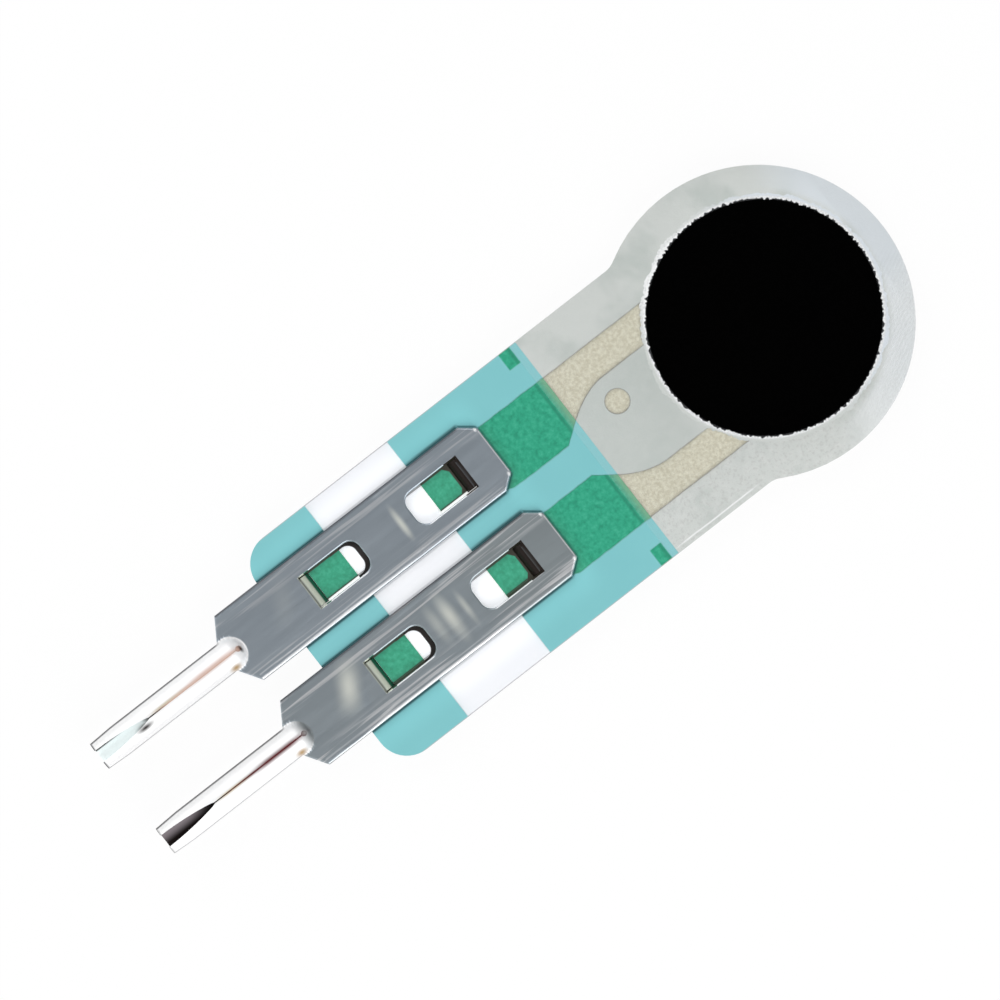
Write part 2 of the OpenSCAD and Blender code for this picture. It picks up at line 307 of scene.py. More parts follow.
# %% A finish with words for soft shapes
class Finish(Tree):
    """A material whose masks are made from the place. Lengths in it are in millimetres."""

    def __init__(self, name):
        self.material = bpy.data.materials.new(name)
        self.material.use_nodes = True
        super().__init__(self.material.node_tree)
        self.tree.nodes.clear()
        place = self.node("ShaderNodeTexCoord", output="Object")
        self.mm = self.node("ShaderNodeVectorMath", {"operation": "SCALE"},
                            {"Vector": place, "Scale": 1 / MM})
        self.x = self.node("ShaderNodeSeparateXYZ", None, {"Vector": self.mm}, "X")
        self.y, self.z = [Value(self, self.x.socket.node.outputs[key]) for key in ("Y", "Z")]

    def over(self, value, edge, soft):
        """1 where a value is over an edge, 0 where it is under, and a soft step between."""
        return self.node("ShaderNodeMapRange", {"interpolation_type": "SMOOTHSTEP"},
                         {"Value": value, "From Min": edge - soft, "From Max": edge + soft})

    def under(self, value, edge, soft):
        """1 where a value is under an edge."""
        return 1 - self.over(value, edge, soft)

    def between(self, value, low, high, soft):
        """1 where a value lies between two edges."""
        return self.over(value, low, soft) * self.under(value, high, soft)

    def line(self, value, centre, half):
        """A soft line where a value is near its centre."""
        return self.under(abs(value - centre), half / 2, half / 2)

    def length(self, across, along):
        """How long a line is that goes so far across and so far along."""
        return self.maths("SQRT", across ** 2.0 + along ** 2.0)

    def radius(self, x, y):
        """Distance from an upright line through a point."""
        return self.length(self.x - x, self.y - y)

    def spot(self, across, x, y, half_x, half_y):
        """A soft oval that is 1 in the middle and 0 from its rim outwards."""
        return self.under(self.length((across - x) / half_x, (self.y - y) / half_y), 0.5, 0.5)

    def noise(self, scale, detail=2.0, stretch=(1, 1, 1), rough=0.5):
        """Cloudy noise from 0 to 1. The scale is in waves a millimetre."""
        where = self.node("ShaderNodeVectorMath", {"operation": "MULTIPLY"},
                          {0: self.mm, 1: stretch})
        return self.node("ShaderNodeTexNoise", {"noise_dimensions": "3D"},
                         {"Vector": where, "Scale": scale, "Detail": detail, "Roughness": rough})

    def bump(self, height, depth):
        """A bump of a depth in millimetres where the height goes from 0 to 1."""
        return self.node("ShaderNodeBump", None,
                         {"Height": height, "Distance": depth * MM, "Strength": 1.0})

    def surface(self, values):
        """Ends the tree in one Principled shader with these sockets."""
        shader = self.node("ShaderNodeBsdfPrincipled", None, values)
        self.node("ShaderNodeOutputMaterial", None, {"Surface": shader})
        print(self.material.name, "has", len(self.tree.nodes), "nodes")
        return self.material


def grey(level):
    return level, level, level


BLACK = grey(0.0)
print("a finish can", words_of(Finish))


# %% [markdown]
# ## Floor
#
# The part lies on a plain white page. A white floor under soft lamps comes out pale grey, and more
# light would bleach the part as well. So the floor glows at full white only for the camera and for
# reflections, and the rest of its material is white paper that still takes a faint shadow.

# %% Floor
FLOOR_GAP = 0.005
FLOOR_Z = cad_low.z / MM - FLOOR_GAP
FLOOR_HALF = 400
FLOOR_GLOW = 0.95
PAPER, PAPER_GLOW = grey(0.99), grey(1.0)


def floor_finish():
    f = Finish("white_floor")
    paths = [f.node("ShaderNodeLightPath", output=name)
             for name in ("Is Camera Ray", "Is Glossy Ray", "Is Transmission Ray")]
    paper = f.node("ShaderNodeBsdfDiffuse", None, {"Color": PAPER})
    glow = f.node("ShaderNodeEmission", None, {"Color": PAPER_GLOW, "Strength": 1.0})
    mixed = f.node("ShaderNodeMixShader", None,
                   {0: f.most(*paths) * FLOOR_GLOW, 1: paper, 2: glow})
    f.node("ShaderNodeOutputMaterial", None, {"Surface": mixed})
    return f.material


floor_mesh = bpy.data.meshes.new("floor")
floor_corners = [(-FLOOR_HALF, -FLOOR_HALF), (FLOOR_HALF, -FLOOR_HALF),
                 (FLOOR_HALF, FLOOR_HALF), (-FLOOR_HALF, FLOOR_HALF)]
floor_mesh.from_pydata([(x * MM, y * MM, FLOOR_Z * MM) for x, y in floor_corners], [],
                       [(0, 1, 2, 3)])
floor = bpy.data.objects.new("floor", floor_mesh)
floor_mesh.materials.append(floor_finish())
bpy.context.scene.collection.objects.link(floor)
print("floor at", round(FLOOR_Z, 3), "mm")

# %% [markdown]
# ## World and lamps
#
# A stamped strip of tin is a dull mirror. Where it lies flat it shows what is overhead, which is
# grey in the photograph, and a round pin shows what stands beside it, which is bright. One large
# lamp overhead would turn the flat parts white. So the world stays dim, and three soft boxes stand
# low: one on each side, and one beyond the tail.

# %% World and lamps
WORLD_LEVEL = 0.3
WORLD_COLOUR = (0.97, 0.98, 1, 1)
LAMP_AWAY = 100


def soft_box(name, azimuth, tilt, width, length, level):
    """A rectangular lamp that looks at the part. The tilt is from the vertical, in degrees."""
    data = bpy.data.lights.new(name, "AREA")
    data.shape = "RECTANGLE"
    data.size = width * MM
    data.size_y = length * MM
    data.energy = level * math.pi * width * length * MM * MM
    lamp = bpy.data.objects.new(name, data)
    a, t = math.radians(azimuth), math.radians(tilt)
    back = Vector((math.sin(t) * math.cos(a), math.sin(t) * math.sin(a), math.cos(t)))
    lamp.location = (Vector((VIEW_X, VIEW_Y, 0)) + back * LAMP_AWAY) * MM
    lamp.rotation_mode = "QUATERNION"
    lamp.rotation_quaternion = (-back).to_track_quat("-Z", "Y")
    bpy.context.scene.collection.objects.link(lamp)
    return lamp


world = bpy.data.worlds.new("studio")
world.use_nodes = True
background = world.node_tree.nodes["Background"].inputs
background["Color"].default_value = WORLD_COLOUR
background["Strength"].default_value = WORLD_LEVEL
bpy.context.scene.world = world
for name, azimuth, tilt, width, length, level in (("key", 0, 52, 90, 110, 2.5),
                                                  ("fill", 180, 52, 90, 110, 1.8),
                                                  ("tail_box", 270, 60, 110, 50, 1.1)):
    lamp = soft_box(name, azimuth, tilt, width, length, level)
    print(name, "energy", round(lamp.data.energy, 4))

# %% [markdown]
# ## The outline of the films
#
# All films were cut together by one die: a round head, a tail, and a small fillet where the two
# meet. The outline could be traced, but it is only three arcs and a few straight lines, so it is
# worked out from the head's radius, the fillet's radius and the width of the tail.

# %% The outline of the films
HEAD_STEPS, NECK_STEPS, CORNER_STEPS = 90, 10, 16


def arc(centre_x, centre_y, radius, start, end, steps):
    """Points along an arc, in degrees, with both ends."""
    angles = [math.radians(start + (end - start) * i / steps) for i in range(steps + 1)]
    return [(centre_x + radius * math.cos(a), centre_y + radius * math.sin(a)) for a in angles]


def half_outline():
    """Right side of the outline, from the far end of the head to the start of the tail."""
    fillet_x = TAIL_HALF + NECK_R
    fillet_y = -math.sqrt((HEAD_R + NECK_R) ** 2 - fillet_x ** 2)
    meet = math.degrees(math.atan2(fillet_y, fillet_x))
    head = arc(0, 0, HEAD_R, 90, meet, HEAD_STEPS)
    neck = arc(fillet_x, fillet_y, NECK_R, 180 + meet, 180, NECK_STEPS)
    return head + neck[1:]


def outline(y_rear, corner):
    """The closed outline down to a line across the tail, with that corner radius there."""
    side = half_outline()
    if corner:
        side += arc(TAIL_HALF - corner, y_rear + corner, corner, 0, -90, CORNER_STEPS)
    else:
        side += [(TAIL_HALF, y_rear)]
    return side + [(-x, y) for x, y in reversed(side[1:])]


print("outline points", len(outline(Y_TAIL, CORNER_R)))


# %% [markdown]
# ## A sheet cut from its outline
#
# A cut sheet has straight sides and a tiny round where the die crushed its edge. An extruded
# outline with a bevel would do, and so would a solid cut out of a block. A flat curve that is
# filled on both sides gives the thickness, the round and the holes in one go, so it is used here,
# and is then turned into a plain mesh. Every mesh is cleaned by the same few lines: close points
# are welded, faces are turned outwards, and open edges are counted.

# %% Show a mesh
def show(name, mesh, material, smooth_angle=35):
    """Puts a mesh made in millimetres into the scene, in metres, riding on the part."""
    mesh.transform(Matrix.Scale(MM, 4))
    piece = bpy.data.objects.new(name, mesh)
    mesh.materials.clear()
    mesh.materials.append(material)
    mesh.polygons.foreach_set("use_smooth", [True] * len(mesh.polygons))
    mesh.set_sharp_from_angle(angle=math.radians(smooth_angle))
    bpy.context.scene.collection.objects.link(piece)
    print(name, "faces", len(mesh.polygons))
    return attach(piece, "root")


print("a mesh is scaled by", MM, "when it is shown")


# %% A plain and clean mesh
WELD = 0.0002


def plain_mesh(maker):
    """What a curve or a modifier makes, as a plain mesh. The object that made it is removed."""
    bpy.context.scene.collection.objects.link(maker)
    mesh = bpy.data.meshes.new_from_object(
        maker.evaluated_get(bpy.context.evaluated_depsgraph_get()))
    bpy.data.objects.remove(maker)
    return mesh


def cleaned(mesh, weld=0, move=(0, 0, 0)):
    """Welds a mesh, turns its faces outwards, moves it and counts its open edges."""
    work = bmesh.new()
    work.from_mesh(mesh)
    if weld:
        bmesh.ops.remove_doubles(work, verts=work.verts, dist=weld)
    bmesh.ops.recalc_face_normals(work, faces=work.faces)
    bmesh.ops.translate(work, verts=work.verts, vec=move)
    open_edges = sum(1 for e in work.edges if len(e.link_faces) != 2)
    work.to_mesh(mesh)
    work.free()
    print("a mesh with", open_edges, "open edges")
    return mesh


print("points closer than", WELD, "mm are welded")


# %% A sheet cut from its outline
EDGE_BITS = 2


def cut_sheet(loops, z_low, z_high, edge):
    """A closed sheet from its outline and holes, as a mesh in millimetres."""
    data = bpy.data.curves.new("sheet", "CURVE")
    data.dimensions = "2D"
    data.fill_mode = "BOTH"
    data.extrude = (z_high - z_low) / 2 - edge
    data.bevel_depth = edge
    data.offset = -edge
    data.bevel_resolution = EDGE_BITS - 1
    for loop in loops:
        spline = data.splines.new("POLY")
        spline.points.add(len(loop) - 1)
        for point, (x, y) in zip(spline.points, loop):
            point.co = (x, y, 0, 1)
        spline.use_cyclic_u = True
    sheet = bpy.data.objects.new("sheet", data)
    return cleaned(plain_mesh(sheet), WELD, (0, 0, (z_low + z_high) / 2))


print("a cut edge is rounded in", EDGE_BITS, "steps each way")


# %% [markdown]
# ## Where the silver is
#
# The silver ink is pushed through a fine screen: a wide pad under each contact, a taper, and a
# narrow trace to the head. It is seen through a coat on the tail and through the adhesive on the
# head, and both change colour over it. So one mask, "is there silver below this point", is worked
# out from the place and serves all of them, with edges as uneven as a screen leaves them.

# %% Where the silver is
def silver_lines(f, wave):
    """Distance from the middle, and where the inner edge of the silver lies at that place.

    Beside the contacts the print is a hair narrower, so that no green shows along them.
    """
    ragged = (f.noise(3.2, 3.0) - 0.5) * wave
    beside = f.under(f.y, Y_CONTACT - 0.25, 0.1)
    across = abs(f.x + beside * 0.05) + ragged
    run = f.node("ShaderNodeClamp", None, {"Value": (f.y - TAPER_START) / TAPER_L})
    taper = f.maths("SINE", run * (math.pi / 2))
    inner = pad_low.x + (pad_high.x - TRACE_W - pad_low.x) * taper
    return across, inner, ragged


def silver_mask(f, soft, wave):
    """1 over the pads, tapers and traces, with edges as uneven as a screen print's."""
    across, inner, ragged = silver_lines(f, wave)
    inside = f.over(across - inner, 0, soft) * f.under(across, pad_high.x, soft)
    return inside * f.over(f.y + ragged, pad_low.y, soft) * f.under(f.y, 0, 0.1)


print("silver pads", round(pad_high.x - pad_low.x, 2), "mm wide, traces", TRACE_W)


# %% The edge of the silver and the two marks
def silver_edge(f, half, wave):
    """A soft line along the long edges of the same silver, which fades towards the disc."""
    across, inner, _ = silver_lines(f, wave)
    edge = f.most(f.line(across - inner, 0, half), f.line(across, pad_high.x, half))
    edge = edge * (0.3 + f.noise(1.8, 2.0) * 0.9)
    edge = edge * f.over(f.radius(0, DISC_Y), OPENING_R + 0.3, 0.25)
    return edge * f.over(f.y, pad_low.y, half) * f.under(f.y, 0, 0.1)


def mark_mask(f, soft):
    """1 over the two index marks beside the upper film."""
    across = f.between(abs(f.x), mark_low.x, mark_high.x + 1, soft)
    return across * f.between(f.y, mark_low.y, mark_high.y, soft)


print("index marks", round(mark_high.y - mark_low.y, 2), "mm long")


# %% [markdown]
# ## What a contact does to the film
#
# The four tines push the film up into the windows, with a gap in deep shade round each bulge and a
# strip beside it that is lit in one contact and shaded in the other, and the edges of the contact
# throw a thin shadow. All of these are less than a tenth of a millimetre wide. They could be
# modelled, but the film under a contact is flat in the imported part, so they are painted on it as
# shade and highlight, by how far a point is from the middle line of the nearer contact.

# %% Where the contacts are
# Near black for painted deep shade: the gaps in the windows, the front tine's bend, the lip and the
# channel of a pin.
DEEP_SHADE = (0.016, 0.011, 0.009)
FRONT_HALF_Y = -8.6


def from_contact(f):
    """1 nearer the right contact and 0 nearer the left one, and the place across that contact."""
    off = f.x - PAIR_X
    side = f.maths("SIGN", off)
    return (side + 1) * 0.5, off - side * (PITCH / 2)


def beside_contact(f, local):
    """1 near the contacts, between them too, where painted light lifts the coat and the film."""
    return f.under(abs(local), BODY_HALF + 0.45, 0.4)


def contact_shade(f, local):
    """A thin line of shadow round a contact, which is wider on its left side at the front."""
    side = BODY_HALF - abs(local)
    line = f.line(side, -0.018, 0.06)
    wide = f.under(abs(local + BODY_HALF), 0.07, 0.04) * f.over(f.y, FRONT_HALF_Y, 0.5)
    along = f.most(line, wide * 0.9) * f.under(f.y, Y_CONTACT - CHAMFER_L, 0.06)
    corner = (side * CHAMFER_L + (Y_CONTACT - CHAMFER_L - f.y) * CHAMFER_W) / CHAMFER
    corner = f.line(corner, -0.015, 0.055) * f.between(f.y, Y_CONTACT - CHAMFER_L, Y_CONTACT, 0.04)
    front = f.line(f.y, Y_CONTACT + 0.02, 0.04) * f.over(side, CHAMFER_W, 0.06)
    return f.most(along, corner * 0.9, front * 0.45)


print("contacts at", [round(x, 2) for x in CONTACT_X.values()], "mm")


# %% The film inside the windows
BULGE_FLAT, BULGE_R = 0.14, 0.24


def window_width(f, local):
    """1 across a window and a hair beyond its sides."""
    return f.under(abs(local), WINDOW_HALF + 0.03, 0.01)


def window_mask(f, local):
    """1 inside the four windows."""
    rear = f.between(f.y, REAR_HINGE, REAR_HINGE + WINDOW_L, 0.01)
    front = f.between(f.y, FRONT_HINGE - WINDOW_L, FRONT_HINGE, 0.01)
    return (rear + front) * window_width(f, local)


def tine_gap(f, local):
    """Painted deep shade in the gap round the film that bulges into a window, at the end towards
    the head.
    """
    across = f.most(abs(local) - BULGE_FLAT, 0.0)
    along = f.most(f.y - (REAR_HINGE + WINDOW_L - 0.37), 0.0)
    rear = f.over(f.length(across, along), BULGE_R, 0.014)
    rear = rear * f.between(f.y, REAR_HINGE + 0.9, REAR_HINGE + WINDOW_L + 0.1, 0.02)
    chamfer = f.most(abs(local) - 0.25, 0.0) * 0.8
    front = f.over(f.y + chamfer, FRONT_HINGE - 0.31, 0.014)
    front = front * f.between(f.y, FRONT_HINGE - 0.6, FRONT_HINGE + 0.1, 0.02)
    return f.most(rear, front) * window_width(f, local)


def window_sides(f, right, local):
    """The strip inside the right side of a window, and the lines of painted shade along both its
    sides.

    The strip is a painted highlight in the left contact and painted shade in the right one.
    """
    strip = f.over(local, WINDOW_HALF - 0.06, 0.012)
    # The dark line along the right side of a window, and the whole strip in the right contact, are
    # painted shade.
    seam = f.most(strip * right, f.line(local, WINDOW_HALF - 0.075, 0.032))
    seam = seam * (1 - f.between(f.y, FRONT_HINGE - WINDOW_L - 0.2, Y_FRONT_COAT, 0.02))
    return strip * (1 - right), f.most(f.under(local, 0.05 - WINDOW_HALF, 0.014), seam)


print("windows", round(WINDOW_L, 2), "by", round(2 * WINDOW_HALF, 2), "mm")


# %% [markdown]
# ## Teal coat
#
# An insulating varnish covers the tail in two fields and leaves a clear band between them. Over
# bare film it is teal, and over silver it looks green. Two materials would need the coat cut along
# the silver's edge. One material that blends by the silver mask keeps the coat in one piece, and
# the step in the varnish shows as a darker line along the silver.

# %% Teal coat
TEAL = (0.216, 0.571, 0.597)
TEAL_DEEP = (0.200, 0.545, 0.572)
# Colour of the painted shadow round the contacts.
TEAL_SHADOW = (0.008, 0.070, 0.085)
GREEN = (0.014, 0.360, 0.210)
GREEN_DARK = (0.006, 0.215, 0.125)
GREEN_SOFT = (0.005, 0.273, 0.156)
GREEN_LIGHT = (0.040, 0.437, 0.267)
OLIVE = (0.158, 0.392, 0.203)
CUT_EDGE = (0.560, 0.500, 0.500)
# A painted highlight strip in the windows of the left contact, and its painted glow.
STRIP_HIGHLIGHT = (0.93, 0.93, 0.92)
STRIP_HIGHLIGHT_GLOW = (0.45, 0.45, 0.44)
# Painted light near and between the contacts: teal over bare film, green over silver.
TEAL_GLOW = (0.035, 0.095, 0.100)
GREEN_GLOW = (0.021, 0.022, 0.014)


def coat_finish():
    f = Finish("teal_coat")
    right, local = from_contact(f)
    silver = f.most(silver_mask(f, 0.012, 0.05), mark_mask(f, 0.02))
    grain = f.noise(8.0, 4.0, rough=0.62)
    teal = f.blend(f.noise(1.2, 2.0), TEAL_DEEP, TEAL)
    mottled = f.node("ShaderNodeValToRGB", {"stops": [(0.3, GREEN_SOFT), (0.5, GREEN),
                                                      (0.72, GREEN_LIGHT)]},
                     {"Fac": grain}, "Color")
    step = f.most(silver_edge(f, 0.035, 0.05),
                  silver * f.line(f.y, Y_FILM_EDGE - 0.05, 0.075))
    under_film = f.over(f.y, Y_FILM_EDGE + 0.09, 0.09)
    cut = f.over(abs(f.x), TAIL_HALF - 0.018, 0.01)
    # Painted shade: a thin shadow round the contacts, and deep shade in the windows' gaps and along
    # their sides. Painted highlight: the lit strip in the windows of the left contact.
    shade = contact_shade(f, local)
    window = window_mask(f, local)
    lit, dark = window_sides(f, right, local)
    strip = window * lit
    gap = f.most(window * dark * 0.95, tine_gap(f, local) * (1 - strip))
    colour = f.paint(teal, (silver, mottled), (step * 0.7, GREEN_DARK),
                     (under_film * silver * 0.75, OLIVE), (cut * 0.7, CUT_EDGE),
                     (shade * 0.9, TEAL_SHADOW), (strip, STRIP_HIGHLIGHT), (gap, DEEP_SHADE))
    # Painted light near and between the contacts, none in their shadow, and on the lit strip.
    hemmed = beside_contact(f, local) * f.under(f.y, Y_CONTACT, 0.4)
    lift = f.blend(silver, TEAL_GLOW, GREEN_GLOW)
    glow = f.paint(BLACK, (hemmed * (1 - shade), lift), (strip, STRIP_HIGHLIGHT_GLOW))
    height = silver * 0.7 + grain * silver * 0.2 + f.noise(30.0, 2.0) * 0.04
    return f.surface({"Base Color": colour, "Roughness": 0.5 + grain * 0.12,
                      "Emission Color": glow, "Emission Strength": 1.0,
                      "Normal": f.bump(height, 0.010)})


coat = coat_finish()


# %% [markdown]
# ## Silver print
#
# Silver ink isn't shiny like foil. It is flakes in a binder, and under milky adhesive it looks
# like beige paper with a fine grain. A metallic shader would turn it dark where nothing bright is
# mirrored, so it is a rough pale surface with grain from noise, and only a trace of metal.

# %% Silver print
SILVER_WARM = (0.690, 0.632, 0.442)
SILVER_PALE = (0.905, 0.868, 0.680)
SILVER_EDGE = (0.330, 0.285, 0.210)


def silver_finish():
    f = Finish("silver_print")
    grain = f.noise(11.0, 5.0, rough=0.72)
    dot_rim = f.line(f.radius(DOT_X, DOT_Y), DOT_R - 0.01, 0.04)
    colour = f.paint(SILVER_WARM, (f.over(grain, 0.5, 0.16), SILVER_PALE),
                     (silver_edge(f, 0.045, 0.03) * 0.55, SILVER_EDGE),
                     (dot_rim * 0.34, SILVER_EDGE))
    return f.surface({"Base Color": colour, "Roughness": 0.55 + grain * 0.2, "Metallic": 0.05,
                      "Normal": f.bump(grain, 0.008)})


silver = silver_finish()


# %% [markdown]
# ## Spacer adhesive
#
# The adhesive that holds the films apart is milky and never quite even: paler clouds, tiny
# bubbles on one side, a cooler tint along the far rim. Real subsurface scatter in a sheet of
# 0.1 mm costs much and shows little, so it is a rough surface whose tint follows noise. Over the
# silver it is nearly clear, because there the print itself is what one sees.

# %% Spacer adhesive
MILK = (0.493, 0.535, 0.502)
MILK_PALE = (0.600, 0.627, 0.596)
RIM_BLUE = (0.700, 0.750, 0.790)
RIM_PALE = (0.775, 0.800, 0.795)
# White of the flakes round the opening, and of the painted highlight line near the neck's right
# edge.
RIM_WHITE = (0.950, 0.955, 0.950)
FLECK_PALE = (0.72, 0.73, 0.70)
FLECK_DARK = (0.41, 0.42, 0.40)
HIGHLIGHT_ENDS = (-4.7, -2.5)


def spacer_finish():
    f = Finish("milky_adhesive")
    grain = f.noise(14.0, 4.0, rough=0.7)
    cloud = f.noise(0.9, 3.0)
    middle = f.under(abs(f.x), 1.5, 0.5) * f.under(f.y, -2.7, 0.3)
    pale = f.over(cloud, 0.45, 0.12) * (1 - middle * 0.8)
    bubbly = f.over(f.x, 1.9, 0.35) * f.under(f.y, 1.6, 0.6) * 0.35
    flecks = f.over(f.noise(7.0, 5.0, rough=0.75), 0.53, 0.12) * (0.12 + bubbly)
    specks = f.over(grain, 0.56, 0.05) * (0.10 + bubbly)
    far_rim = f.over(f.radius(0, 0), 3.15, 0.12) * f.over(f.y + f.x * 0.35, 1.55, 0.85)
    rim_tint = f.blend(f.over(f.x, 1.2, 0.8), RIM_BLUE, RIM_PALE)
    # A painted highlight line near the right edge of the neck.
    edge_highlight = f.line(f.x + (cloud - 0.5) * 0.06, TAIL_HALF - 0.13, 0.035)
    edge_highlight = edge_highlight * f.between(f.y, *HIGHLIGHT_ENDS, 0.3)
    colour = f.paint(MILK, (pale, MILK_PALE), (flecks, FLECK_PALE), (specks, FLECK_DARK),
                     (far_rim * 0.8, rim_tint), (edge_highlight * 0.8, RIM_WHITE),
                     (silver_edge(f, 0.06, 0.04) * 0.22, SILVER_EDGE))
    seen = f.most(silver_mask(f, 0.02, 0.03), f.under(f.radius(DOT_X, DOT_Y), DOT_R, 0.02))
    return f.surface({"Base Color": colour, "Roughness": 0.6, "Alpha": 1 - seen * 0.94,
                      "Normal": f.bump(grain, 0.006)})


milky = spacer_finish()


# %% [markdown]
# ## The lower film
#
# The lower film is clear polyester, and on a white page it reads as white. Glass shading would
# need many light bounces for little effect, so the bare band is a pale surface that lets a quarter
# of the light through, with a faint painted glow all over it, stronger between the contacts, where
# the real page lights it from below, and strongest in the windows. Under the coats it is nearly
# clear, so that from below one sees the coats through it.

# %% The lower film
BARE_OPACITY, COVERED_OPACITY = 0.72, 0.15
NECK_END = -3.2
FILM_COOL = (0.915, 0.935, 0.975)
FILM_PALE = (0.945, 0.955, 0.980)
FILM_SHADE = (0.30, 0.31, 0.33)
FILM_CUT = (0.36, 0.35, 0.37)
# Painted light: a faint glow on the bare film, more beside the contacts and in the windows.
FILM_GLOW, HEMMED_GLOW, WINDOW_GLOW = grey(0.045), grey(0.255), grey(0.34)


def film_finish():
    f = Finish("clear_film")
    right, local = from_contact(f)
    cloud = f.noise(0.8, 2.0)
    upside = f.over(f.z, (film_low.z + film_high.z) / 2, 0.01)
    window = window_mask(f, local) * upside
    _, dark = window_sides(f, right, local)
    # Painted shade in the windows' gaps and along their sides, and round the contacts.
    gap = f.most(window * dark * 0.7, tine_gap(f, local) * upside)
    shade = contact_shade(f, local) * upside
    cut = f.over(abs(f.x), TAIL_HALF - 0.022, 0.012) * f.under(f.y, NECK_END, 0.1)
    bare = f.between(f.y, Y_REAR_COAT, Y_FRONT_COAT, 0.03)
    colour = f.paint(FILM_COOL, (cloud, FILM_PALE), (shade * 0.5, FILM_SHADE), (gap, DEEP_SHADE),
                     (cut * 0.8, FILM_CUT))
    glow = f.paint(FILM_GLOW, (beside_contact(f, local) * (1 - shade), HEMMED_GLOW), (cut, BLACK),
                   (window, WINDOW_GLOW), (gap, BLACK), (1 - bare, BLACK))
    opacity = COVERED_OPACITY + bare * (BARE_OPACITY - COVERED_OPACITY)
    return f.surface({"Base Color": colour, "Roughness": 0.3 + cloud * 0.08,
                      "Alpha": f.most(opacity, window), "Emission Color": glow,
                      "Emission Strength": 1.0, "Normal": f.bump(f.noise(6.0, 2.0), 0.002)})


clear = film_finish()


# %% [markdown]
# ## The upper film
#
# The upper film is as clear, but all that shows of it is a thin haze, paler and finely hatched on
# its lower right rim. So it is almost fully transparent, and a wave texture raises its haze in that
# one place.

# %% The upper film
HAZE_COLOUR = (0.90, 0.92, 0.95)


def top_film_finish():
    f = Finish("hazy_film")
    cloud = f.noise(0.7, 2.0)
    slanted = f.node("ShaderNodeVectorMath", {"operation": "MULTIPLY"},
                     {0: f.mm, 1: (1.0, 0.5, 0)})
    hatch = f.node("ShaderNodeTexWave", {"bands_direction": "DIAGONAL"},
                   {"Vector": slanted, "Scale": 6.0, "Distortion": 0.7, "Detail": 1.0}, "Fac")
    rim = f.over(f.radius(0, 0), 3.1, 0.12) * f.spot(f.x, 2.3, 2.3, 2.6, 2.6)
    over_disc = f.under(f.radius(0, DISC_Y), DISC_R - 0.03, 0.02)
    colour = f.blend(over_disc, HAZE_COLOUR, grey(0.002))
    haze = (0.03 + cloud * 0.02) * (1 - over_disc) + rim * (0.10 + hatch * 0.09)
    return f.surface({"Base Color": colour, "Roughness": 0.18 + cloud * 0.06,
                      "Specular IOR Level": 0.3, "Alpha": haze,
                      "Normal": f.bump(hatch * rim, 0.002)})


hazy = top_film_finish()


# %% [markdown]
# ## The mounting adhesive
#
# Under the head lies a thin layer of glue for mounting the part. It only shows from below, as a
# slightly grainy, half clear skin, and noise on its colour and roughness is all that it takes.

# %% The mounting adhesive
GLUE_DULL, GLUE_PALE = (0.80, 0.80, 0.76), (0.92, 0.92, 0.90)


def adhesive_finish():
    f = Finish("mounting_adhesive")
    grain = f.noise(9.0, 4.0, rough=0.7)
    colour = f.blend(grain, GLUE_DULL, GLUE_PALE)
    return f.surface({"Base Color": colour, "Roughness": 0.5 + grain * 0.2, "Alpha": 0.4,
                      "Normal": f.bump(grain, 0.006)})


glue = adhesive_finish()


# %% [markdown]
# ## Carbon print
#
# Carbon ink swallows light. Any gloss on it would lift it to dark grey, so its gloss is turned
# down almost to nothing, and its faint grain only shows when light grazes it.

# %% Carbon print
def carbon_finish():
    f = Finish("carbon_print")
    grain = f.noise(20.0, 3.0, rough=0.6)
    colour = f.blend(grain, grey(0.0002), grey(0.0008))
    return f.surface({"Base Color": colour, "Roughness": 0.7 + grain * 0.2,
                      "Specular IOR Level": 0.005, "Normal": f.bump(grain, 0.004)})


carbon = carbon_finish()


# %% [markdown]
# ## Coats, silver and mounting adhesive
#
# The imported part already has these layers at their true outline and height. They could be built
# again, but nothing would be gained: their CAD solids stay, and only change their material.

# %% Dress the CAD nodes that stay
SILVER_NODES = ("left_electrode", "right_electrode", "left_rear_pad", "right_rear_pad",
                "left_index_mark", "right_index_mark", "marker_dot")


def dress(node, material):
    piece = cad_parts[node]
    piece.data.materials.clear()
    piece.data.materials.append(material)


for node in SILVER_NODES:
    dress(node, silver)
dress("front_insulation", coat)
dress("rear_insulation", coat)
dress("rear_adhesive", glue)
print("dressed", len(SILVER_NODES) + 3, "nodes")

# %% [markdown]
# ## The clear films
#
# The two films are polyester sheets of a tenth of a millimetre. Their CAD solids touch the layers
# above and below, and two see-through faces in the same place fight for the same ray and show as
# speckle. So the films are cut again from the same outline, a few microns thinner, with the round
# edge that the die leaves and with the slits that the tines pierce.

# %% Slits for the tines
APART = 0.0015
SLIT_HALF = TINE_HALF - 0.002
SLIT_BACK, SLIT_L = 0.01, 0.248


def slit_loops():
    """The slits that the four tines cut, as holes. The film grips the tines, so no gap shows."""
    loops = []
    for centre in CONTACT_X.values():
        left, right = centre - SLIT_HALF, centre + SLIT_HALF
        for hinge, towards in HINGES:
            near, far = sorted((hinge - towards * SLIT_BACK, hinge + towards * SLIT_L))
            loops.append([(left, near), (right, near), (right, far), (left, far)])
    return loops


print("slits", len(slit_loops()))

# %% Cut the films
BASE_ROUND, TOP_ROUND = 0.012, 0.02

base_mesh = cut_sheet([outline(Y_TAIL, CORNER_R)] + slit_loops(),
                      film_low.z + APART, film_high.z - APART, BASE_ROUND)
base_film = show("lower_film", base_mesh, clear)
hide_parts("base_film")

top_mesh = cut_sheet([outline(Y_FILM_EDGE, 0)], top_low.z + APART, top_high.z, TOP_ROUND)
top_film = show("upper_film", top_mesh, hazy)
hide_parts("top_film")

